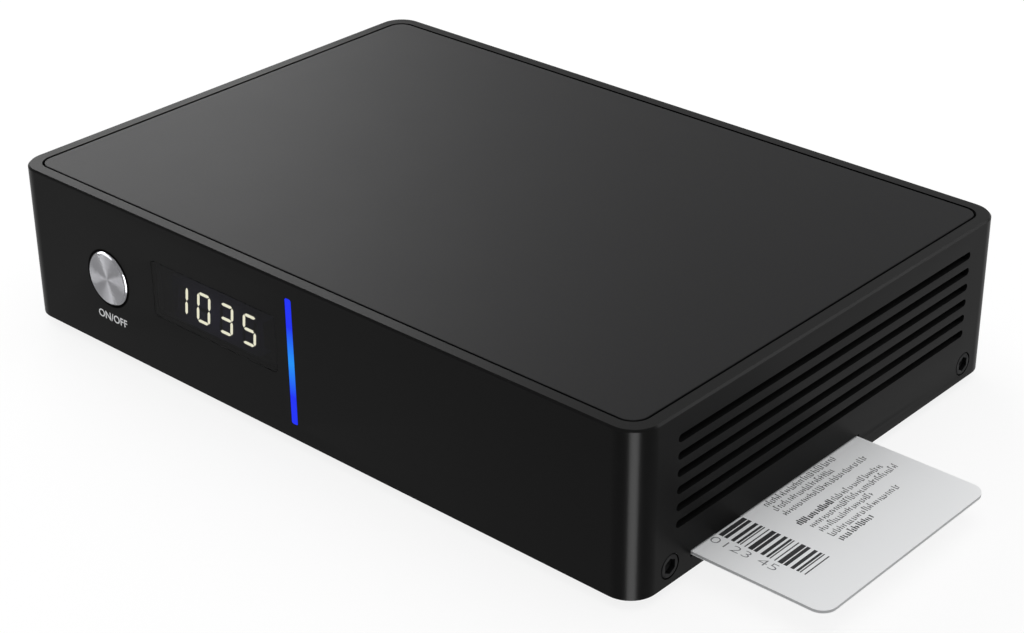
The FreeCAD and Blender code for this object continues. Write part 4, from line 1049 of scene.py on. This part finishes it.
@dataclass
class FrontPanel(SubAssembly):
    """The power button, the lit display, the light strip and the small board that carries them."""

    words_below: float = 9.5
    words_right: float = 0.2
    words_height: float = 1.9
    words_width: float = 9.6
    words_bold: float = 0.012
    ring_inner: float = 6.24
    ring_outer: float = 6.78
    # The button's dished face and its chamfer, as pairs of a radius and a depth behind its solid's face
    button_face: Profile = ((0.0, 0.34), (4.2, 0.32), (5.72, 0.3), (5.78, 0.32), (6.16, 0.65), (6.2, 0.71))
    button_radius: float = 6.2
    button_facets: int = 96
    flange_radius: float = 7.5
    flange_front: float = 2.85
    flange_rear: float = 3.65
    stem_radius: float = 1.6
    stem_chamfer: float = 0.2
    chamfer_inner: float = 5.73
    chamfer_outer: float = 6.19
    chamfer_depth: float = 1.0
    digit_pitch: float = 7.0
    digit_stretch: float = 1.09
    stroke_share: float = 0.8

    def build(self) -> Iterator[Piece]:
        """Yields the front's pieces."""
        yield self.button()
        # The ring round the button is painted shade of its gap.
        yield self.button_ring()
        yield Dress("tact_switch_body", SOCKET_BLACK).put_on()
        yield Dress("tact_switch_plunger", SOCKET_BLACK).put_on()
        yield Dress("display_window", SMOKED_LENS, 0.08, "window_smoke").put_on()
        # The display's face carries a painted glow round the digits.
        yield Dress("display_module", self.module_finish()).put_on()
        yield self.digits()
        for dress in (
            Dress("unlit_segments", DARK_SEGMENT),
            Dress("infrared_receiver", RECEIVER_PLASTIC),
            Dress("light_pipe", self.strip_finish(), 0.1, "strip_blue"),
            Dress("strip_leds", DIODE),
            Dress("front_board", SOLDER_MASK),
            Dress("front_board_screws", ZINC),
            Dress("board_link_header", SOCKET_BLACK),
            Dress("board_link_pins", GOLD),
        ):
            yield dress.put_on()
        yield self.button_words()

    def button_words(self) -> Piece:
        """The plain words printed under the button."""
        centre = node_box("power_button").centre
        front = node_box("case_shell").low.y - INK_FILM / 2
        middle = (centre.x + self.words_right, front, centre.z - self.words_below)
        width, bold = self.words_width, self.words_bold
        return lettering(
            "switch_words", "ON/OFF", self.words_height, middle, Axis.FRONT, WHITE_INK, width=width, bold=bold
        )

    def button(self) -> Piece:
        """The turned aluminium button, with a chamfer round its face."""
        box = node_box("power_button")
        depth = box.size.y
        profile = (
            *self.button_face,
            (self.button_radius, self.flange_front),
            (self.flange_radius, self.flange_front),
            (self.flange_radius, self.flange_rear),
            (self.stem_radius, self.flange_rear),
            (self.stem_radius, depth - self.stem_chamfer),
            (self.stem_radius - self.stem_chamfer, depth),
            (0.0, depth),
        )
        start = (box.centre.x, box.low.y, box.centre.z)
        form = Form()
        form.turned(profile, start, Axis.REAR, self.button_facets)
        form.wrap_turned(start, Axis.REAR)
        finish = SpunFinish(
            "spun_aluminium", "#868689", 0.4, metallic=1.0, mottle=0.05, centre=start, stretch=0.95
        )
        made = form.piece("power_button_turned", finish, "power_button", ["power_button"], "button_aluminium")
        made.data.materials.append(CUT_ALUMINIUM.material())
        for polygon in made.data.polygons:
            spot = polygon.center / MM - Vector(start)
            if self.chamfer_inner < spot.xz.length < self.chamfer_outer and spot.y < self.chamfer_depth:
                polygon.material_index = 1
        return made

    def button_ring(self) -> Piece:
        """A thin near-black ring on the front round the button: painted shade of the gap round the button."""
        centre = node_box("power_button").centre
        front = node_box("case_shell").low.y
        inner, outer = self.ring_inner, self.ring_outer
        profile = ((inner, 0.0), (outer, 0.0), (outer, INK_FILM), (inner, INK_FILM))
        form = Form()
        form.turned(profile, (centre.x, front, centre.z), Axis.FRONT, self.button_facets, closed=True)
        return form.piece("button_painted_gap_shade", PAINTED_GAP_SHADE, "housing")

    def digits(self) -> Piece:
        """The lit segments, each slimmer and each digit a little taller than its solid."""
        form = Form.of_node("lit_segments")
        middle = node_box("display_module").centre.x
        foot = node_box("lit_segments").low.z
        pitch, stretch, slim = self.digit_pitch, self.digit_stretch, self.stroke_share
        for verts in list(form.islands()):
            box = Box.around(verts)
            old = box.centre
            cell = middle + (math.floor((old.x - middle) / pitch) + 0.5) * pitch
            new = Vector((cell + (old.x - cell) * stretch, old.y, foot + (old.z - foot) * stretch))
            wide, tall = (stretch, slim) if box.size.x > box.size.z else (slim, stretch)
            for vert in verts:
                offset = vert.co - old
                vert.co = new + Vector((offset.x * wide, offset.y, offset.z * tall))
        finish = GlowFinish(
            "lit_segment", "#3a3a30", 0.5, specular=0.1, glow="#eeebc9", middle="#eeebc9", strength=12.0
        )
        return form.piece("lit_digits", finish, "housing", ["lit_segments"], "segment_lit")

    def module_finish(self) -> GlowFinish:
        """The display's dark face, with a very faint blue glow painted round the digits: painted light spill
        from the digits, as the face gives no light of its own.
        """
        centre = tuple(node_box("display_module").centre)
        # The middle colour and the strength paint a faint glow round the digits onto a face that is no lamp.
        return GlowFinish(
            "display_face_painted_glow", "#0a0a0c", 0.5, specular=0.06, glow="#000000", middle="#12121c", strength=12.0,
            centre=centre, reach=(19.0, 60.0, 9.0),
        )

    def strip_finish(self) -> GlowFinish:
        """The strip's blue, which turns to cyan at its middle."""
        box = node_box("light_pipe")
        centre = (box.centre.x, box.low.y, box.centre.z)
        return GlowFinish(
            "lit_strip", "#04081c", 0.4, specular=0.04, glow="#1b2ff5", middle="#1d92f4", strength=1.0,
            centre=centre, reach=(60.0, 60.0, 8.0),
        )


@dataclass
class MainBoard(SubAssembly):
    """The main board and the parts on it."""

    crimp_height: float = 1.2
    crimp_depth: float = 0.3
    can_round: float = 0.3
    sleeve_gap: float = 0.05

    def build(self) -> Iterator[Piece]:
        """Yields the board's pieces."""
        for dress in (
            Dress("main_board", SOLDER_MASK),
            Dress("board_standoffs", ZINC),
            Dress("main_board_screws", ZINC),
            Dress("thermal_pad", SILICONE),
            Dress("heatsink_push_pins", NYLON),
            Dress("wireless_module", TINPLATE),
            Dress("processor", EPOXY, 0.12, "chip_black"),
            Dress("memory_chips", EPOXY, 0.1, "chip_black"),
            Dress("flash_chip", EPOXY, 0.1, "chip_black"),
            Dress("network_transformer", EPOXY, 0.25, "chip_black"),
            Dress("processor_heatsink", HEATSINK, 0.15, "heatsink_black"),
            Dress("power_inductors", FERRITE, 0.25, "ferrite"),
            Dress("satellite_tuner_can", TINPLATE, 0.25, "tinplate"),
            Dress("terrestrial_tuner_can", TINPLATE, 0.25, "tinplate"),
        ):
            yield dress.put_on()
        yield self.capacitors()

    def capacitors(self) -> Piece:
        """The electrolytic capacitors, each a drawn can with a crimp near its foot."""
        form = Form()
        for box in solid_boxes("electrolytic_capacitors"):
            radius, height = box.size.x / 2, box.size.z
            top = height - self.sleeve_gap
            profile = (
                (0.0, 0.0),
                (radius - self.can_round, 0.0),
                (radius, self.can_round),
                (radius, self.crimp_height - self.crimp_depth),
                (radius - self.crimp_depth, self.crimp_height),
                (radius, self.crimp_height + self.crimp_depth),
                *rim(radius, height, self.can_round),
                (radius - self.can_round * 2, top),
                (0.0, top),
            )
            form.turned(profile, (box.centre.x, box.centre.y, box.low.z), Axis.UP, 40)
        replaced = ["electrolytic_capacitors"]
        return form.piece("capacitor_cans", DRAWN_CAN, "housing", replaced, "capacitor_can")


@dataclass(frozen=True)
class ContactRow:
    """A row of flat contacts along a socket's tongue, in millimetres."""

    count: int
    pitch: float
    width: float
    rear_gap: float
    film: float = 0.04

    def lay(self, form: Form, tongue: Box, level: float) -> None:
        """Adds the row to a mesh, along the tongue and at the level of one of its faces."""
        for index in range(self.count):
            across = tongue.centre.x + (index - (self.count - 1) / 2) * self.pitch
            low = (across - self.width / 2, tongue.low.y, level - self.film)
            form.block(low, (across + self.width / 2, tongue.high.y - self.rear_gap, level + self.film))


@dataclass
class RearSockets(SubAssembly):
    """The sockets and the switch along the rear panel."""

    thread_pitch: float = 0.794
    thread_root: float = 4.36
    thread_crest: float = 4.76
    neck_radius: float = 4.4
    neck_length: float = 4.2
    bore_radius: float = 3.4
    end_chamfer: float = 0.4
    serial_row: ContactRow = ContactRow(4, 2.3, 1.1, 0.6)
    video_row: ContactRow = ContactRow(10, 1.0, 0.45, 0.5)
    jack_bore: float = 3.1
    jack_sleeve: float = 0.25
    lamp_width: float = 2.6
    lamp_height: float = 1.5
    lamp_inset: float = 1.2
    lamp_depth: float = 0.5
    lamp_proud: float = 0.04
    lamp_edge: float = 0.1
    numeral_height: float = 3.0
    numeral_above: float = 3.4
    paddle_tilt: float = 8.0
    # Each half of the paddle rises from its middle to its end, which lies so far from the middle
    paddle_rise: float = 1.2
    paddle_half: float = 5.6
    pivot_y: float = 58.9
    pivot_z: float = 20.6
    mark_height: float = 2.2
    mark_place: float = 3.3
    mark_rise: float = 2.72

    def build(self) -> Iterator[Piece]:
        """Yields the rear pieces."""
        yield self.coaxial_barrels()
        for dress in (
            Dress("f_nuts", NICKEL, 0.25, "nickel"),
            Dress("f_insulators", NYLON),
            Dress("antenna_connector", NICKEL, 0.12, "nickel"),
            Dress("antenna_insulator", NYLON),
            Dress("usb_shell", TINPLATE, 0.2, "tinplate"),
            Dress("usb_tongues", BLUE_TONGUE, 0.15, "socket_blue"),
        ):
            yield dress.put_on()
        yield self.usb_contacts()
        yield Dress("hdmi_shell", TINPLATE, 0.12, "tinplate").put_on()
        yield Dress("hdmi_tongue", SOCKET_BLACK, 0.12, "socket_black").put_on()
        yield self.video_contacts()
        for node, edge in (("optical_socket", 0.18), ("optical_shutter", 0.1), ("ethernet_socket", 0.2)):
            yield Dress(node, SOCKET_BLACK, edge, "socket_black").put_on()
        yield Dress("ethernet_contacts", GOLD).put_on()
        yield from self.network_lamps()
        yield Dress("dc_jack_body", SOCKET_BLACK, 0.3, "socket_black").put_on()
        yield self.jack_pin()
        yield self.jack_lining()
        yield Dress("rocker_switch_body", SOCKET_BLACK, 0.3, "socket_black").put_on()
        yield Dress("rocker_switch_paddle", SOCKET_BLACK, 0.3, "socket_black").put_on()
        yield Dress("rocker_switch_leads", TINPLATE).put_on()
        yield from self.numerals()
        yield from self.switch_marks()

    def coaxial_barrels(self) -> Piece:
        """The two threaded barrels of the satellite inputs."""
        form = Form()
        half, crest, chamfer = self.thread_pitch / 2, self.thread_crest, self.end_chamfer
        for box in solid_boxes("f_connectors"):
            length = box.size.y
            profile = [(self.bore_radius, 0.0), (self.neck_radius, 0.0), (self.neck_radius, self.neck_length)]
            place = self.neck_length + half
            while place < length - chamfer - self.thread_pitch:
                profile += [(crest, place), (self.thread_root, place + half)]
                place += self.thread_pitch
            profile += [
                (crest, place),
                (crest, length - chamfer),
                (crest - chamfer, length),
                (self.bore_radius + chamfer / 2, length),
                (self.bore_radius, length - chamfer / 2),
            ]
            form.turned(profile, (box.centre.x, box.low.y, box.centre.z), Axis.REAR, 64, closed=True)
        return form.piece("f_connectors_threaded", NICKEL, "housing", ["f_connectors"], "nickel")

    def usb_contacts(self) -> Piece:
        """The contacts along the underside of each blue tongue."""
        form = Form()
        for box in solid_boxes("usb_tongues"):
            self.serial_row.lay(form, box, box.low.z)
        return form.piece("usb_contacts", GOLD, "housing")

    def video_contacts(self) -> Piece:
        """The contacts on both faces of the video socket's tongue."""
        form = Form()
        box = node_box("hdmi_tongue")
        for level in (box.low.z, box.high.z):
            self.video_row.lay(form, box, level)
        return form.piece("video_contacts", GOLD, "housing")

    def network_lamps(self) -> Iterator[Piece]:
        """The two small light windows under the network socket's mouth."""
        box = node_box("ethernet_socket")
        foot, half = box.low.z + self.lamp_inset / 2, self.lamp_width / 2
        for name, finish, side in (
            ("network_lamp_left", GREEN_WINDOW, 1),
            ("network_lamp_right", AMBER_WINDOW, -1),
        ):
            middle = box.centre.x + side * (box.size.x / 2 - self.lamp_inset - half)
            low = (middle - half, box.high.y - self.lamp_depth, foot)
            form = Form()
            form.block(low, (middle + half, box.high.y + self.lamp_proud, foot + self.lamp_height))
            yield form.soften(self.lamp_edge).piece(name, finish, "housing")

    def jack_pin(self) -> Piece:
        """The power inlet's centre pin, with a rounded tip."""
        box = node_box("dc_jack_pin")
        radius, length = box.size.x / 2, box.size.y
        # The tip's points, as shares of the pin's radius: how wide they are and how far behind its end
        tip = ((1.0, 0.6), (0.9, 0.25), (0.6, 0.05), (0.0, 0.0))
        profile = [(0.0, 0.0), (radius, 0.0)]
        profile += [(radius * wide, length - radius * back) for wide, back in tip]
        form = Form()
        form.turned(profile, (box.centre.x, box.low.y, box.centre.z), Axis.REAR, 32)
        return form.piece("dc_jack_pin_turned", NICKEL, "housing", ["dc_jack_pin"], "nickel")

    def jack_lining(self) -> Piece:
        """The thin metal sleeve in the power inlet's bore."""
        pin, body = node_box("dc_jack_pin"), node_box("dc_jack_body")
        outer, inner = self.jack_bore, self.jack_bore - self.jack_sleeve
        depth = body.high.y - pin.low.y - self.jack_sleeve * 2
        profile = ((inner, 0.0), (outer, 0.0), (outer, depth), (inner, depth))
        form = Form()
        form.turned(profile, (pin.centre.x, pin.low.y, pin.centre.z), Axis.REAR, 48, closed=True)
        return form.piece("dc_jack_sleeve", TINPLATE, "housing")

    def numerals(self) -> Iterator[Piece]:
        """A plain numeral over each satellite input."""
        face = node_box("rear_panel").high.y + INK_FILM / 2
        for number, box in enumerate(reversed(solid_boxes("f_nuts")), start=1):
            middle = (box.centre.x, face, box.high.z + self.numeral_above)
            name = f"input_number_{number}"
            yield lettering(name, str(number), self.numeral_height, middle, Axis.REAR, WHITE_INK)

    def switch_marks(self) -> Iterator[Piece]:
        """The plain on and off marks on the two halves of the rocker."""
        box = node_box("rocker_switch_paddle")
        slope = math.atan2(self.paddle_rise, self.paddle_half)
        pivot = Matrix.Translation((box.centre.x, self.pivot_y, self.pivot_z))
        lean = pivot @ Matrix.Rotation(math.radians(self.paddle_tilt), 4, "X")
        for name, mark, side in (("switch_mark_on", "I", 1), ("switch_mark_off", "O", -1)):
            face = Matrix.Rotation(-side * slope, 4, "X")
            spot = Matrix.Translation((0, self.mark_rise + INK_FILM / 2, side * self.mark_place))
            body, place = "power_switch_paddle", lean @ spot @ face
            yield lettering(
                name, mark, self.mark_height, (0, 0, 0), Axis.REAR, WHITE_INK, body, tilt=place
            )


@dataclass
class CardSlot(SubAssembly):
    """The card reader and the card that stands part of the way out of it."""

    ink: float = 0.012
    seed: int = 5
    bar_unit: float = 0.26
    bars_start: float = -14.0
    bars_end: float = 20.2
    bars_front: float = 24.3
    bars_rear: float = 32.0
    letter_height: float = 1.5
    letter_pitch: float = 0.62
    word_gap: float = 0.2
    laminate: float = 0.13
    face_round: float = 0.05
    number_along: float = 7.6
    number_across: float = 22.5
    number_height: float = 2.0
    number_width: float = 15.0
    number_thin: float = 0.02
    # Each line's place along the card, its start and end across the card, and the weight of its strokes
    lines: tuple[tuple[float, float, float, float], ...] = (
        (-9.0, 38.0, 63.0, 0.2),
        (-6.8, 38.0, 66.0, 0.2),
        (-4.6, 38.0, 58.0, 0.2),
        (1.7, 38.0, 60.5, 0.2),
        (3.9, 38.0, 57.0, 0.2),
        (6.1, 38.0, 65.0, 0.2),
        (10.1, 37.0, 47.5, 0.36),
        (10.1, 48.2, 64.2, 0.2),
        (12.3, 38.0, 66.6, 0.2),
        (14.4, 38.0, 54.8, 0.2),
        (16.7, 38.0, 60.6, 0.2),
        (18.8, 38.0, 48.6, 0.3),
    )

    def build(self) -> Iterator[Piece]:
        """Yields the reader's pieces and the card."""
        yield Dress("card_reader_frame", SOCKET_BLACK).put_on()
        yield Dress("card_reader_contacts", GOLD).put_on()
        yield Dress("insulation_sheet", LINER).put_on()
        yield from self.card_layers()
        yield Dress("card_chip", GOLD).put_on()
        yield self.print_bars()
        yield self.print_lines()
        yield self.print_number()

    def card_layers(self) -> Iterator[Piece]:
        """The card's core, whose darker grey is partly painted shade on the card's edge, between its two
        clear-coated faces.
        """
        box = node_box("smart_card")
        face = self.laminate / box.size.z
        layers = (
            ("card_upper_face", CARD_STOCK, 1 - face, face),
            # The middle layer's darker grey is partly painted shade on the card's edge.
            ("card_middle", CARD_CORE_AND_EDGE_SHADE, face, 1 - 2 * face),
            ("card_lower_face", CARD_STOCK, 0.0, face),
        )
        for name, finish, start, share in layers:
            form = Form.of_node("smart_card")
            for vert in form.bm.verts:
                vert.co.z = box.low.z + start * box.size.z + (vert.co.z - box.low.z) * share
            if finish is CARD_STOCK:
                form.soften(self.face_round)
            yield form.piece(name, finish, "smart_card", ["smart_card"], "card_grey")

    def on_card(self, along: float, across: float, above: float = 0.0) -> Point:
        """A point over the card's upper face, to the right of the case's wall and behind the case's front."""
        case = node_box("case_shell")
        return case.high.x + along, case.low.y + across, node_box("smart_card").high.z + above

    def mark(self, form: Form, along: tuple[float, float], across: tuple[float, float]) -> None:
        """Prints one filled rectangle on the card's upper face.

        Args:
            form: the print it is added to.
            along: where it starts and ends, in millimetres to the right of the case's wall.
            across: where it starts and ends, in millimetres behind the case's front.
        """
        form.block(self.on_card(along[0], across[0]), self.on_card(along[1], across[1], self.ink))

    def print_bars(self) -> Piece:
        """A row of bars whose widths follow a plain repeating rule and stand for no code."""
        form = Form()
        place = self.bars_start
        index = 0
        while place < self.bars_end:
            width = self.bar_unit * (1 + (index * 7 + index // 3) % 4)
            gap = self.bar_unit * (1 + (index * 5 + 1) % 3)
            self.mark(form, (place, min(place + width, self.bars_end)), (self.bars_front, self.bars_rear))
            place += width + gap
            index += 1
        return form.piece("card_bars", BLACK_INK, "smart_card")

    def print_lines(self) -> Piece:
        """Rows of short strokes, as print too small to read."""
        form = Form()
        chance = random.Random(self.seed)
        for level, start, end, weight in self.lines:
            place = start
            while place < end:
                letters = chance.randint(2, 8)
                for _ in range(letters):
                    if place >= end:
                        break
                    self.stroke(form, chance, level, place, weight)
                    place += self.letter_pitch
                place += self.word_gap
        return form.piece("card_lines", BLACK_INK, "smart_card")

    def stroke(self, form: Form, chance: random.Random, level: float, place: float, weight: float) -> None:
        """Prints one upright and one crossing mark, which stand for a letter.

        Args:
            form: the print they are added to.
            chance: the seeded source of their sizes.
            level: the line's place along the card.
            place: the mark's place in the line.
            weight: the width of the marks.
        """
        tall = self.letter_height * chance.choice((0.65, 0.65, 1.0))
        self.mark(form, (level - tall, level), (place, place + weight))
        bar = level - tall * chance.choice((0.0, 0.5, 1.0))
        wide = self.letter_pitch * chance.choice((0.55, 0.75))
        self.mark(form, (bar - weight / 2, bar + weight / 2), (place, place + wide))

    def print_number(self) -> Piece:
        """A plain number beside the bars."""
        middle = self.on_card(self.number_along, self.number_across, self.ink)
        height, width = self.number_height, self.number_width
        return lettering(
            "card_number", "0123 45", height, middle, Axis.UP, GREY_INK, "smart_card", width,
            bold=-self.number_thin,
        )


def main() -> None:
    """Builds the receiver and the studio, and reports each piece."""
    logging.basicConfig(level=logging.INFO, format="%(name)s: %(message)s")
    for group in (Enclosure(), FrontPanel(), MainBoard(), RearSockets(), CardSlot()):
        for piece in group.build():
            log.info("%s: %s, %d faces", type(group).__name__, piece.name, len(piece.data.polygons))
    Studio(View()).build()


if __name__ == "__main__":
    main()
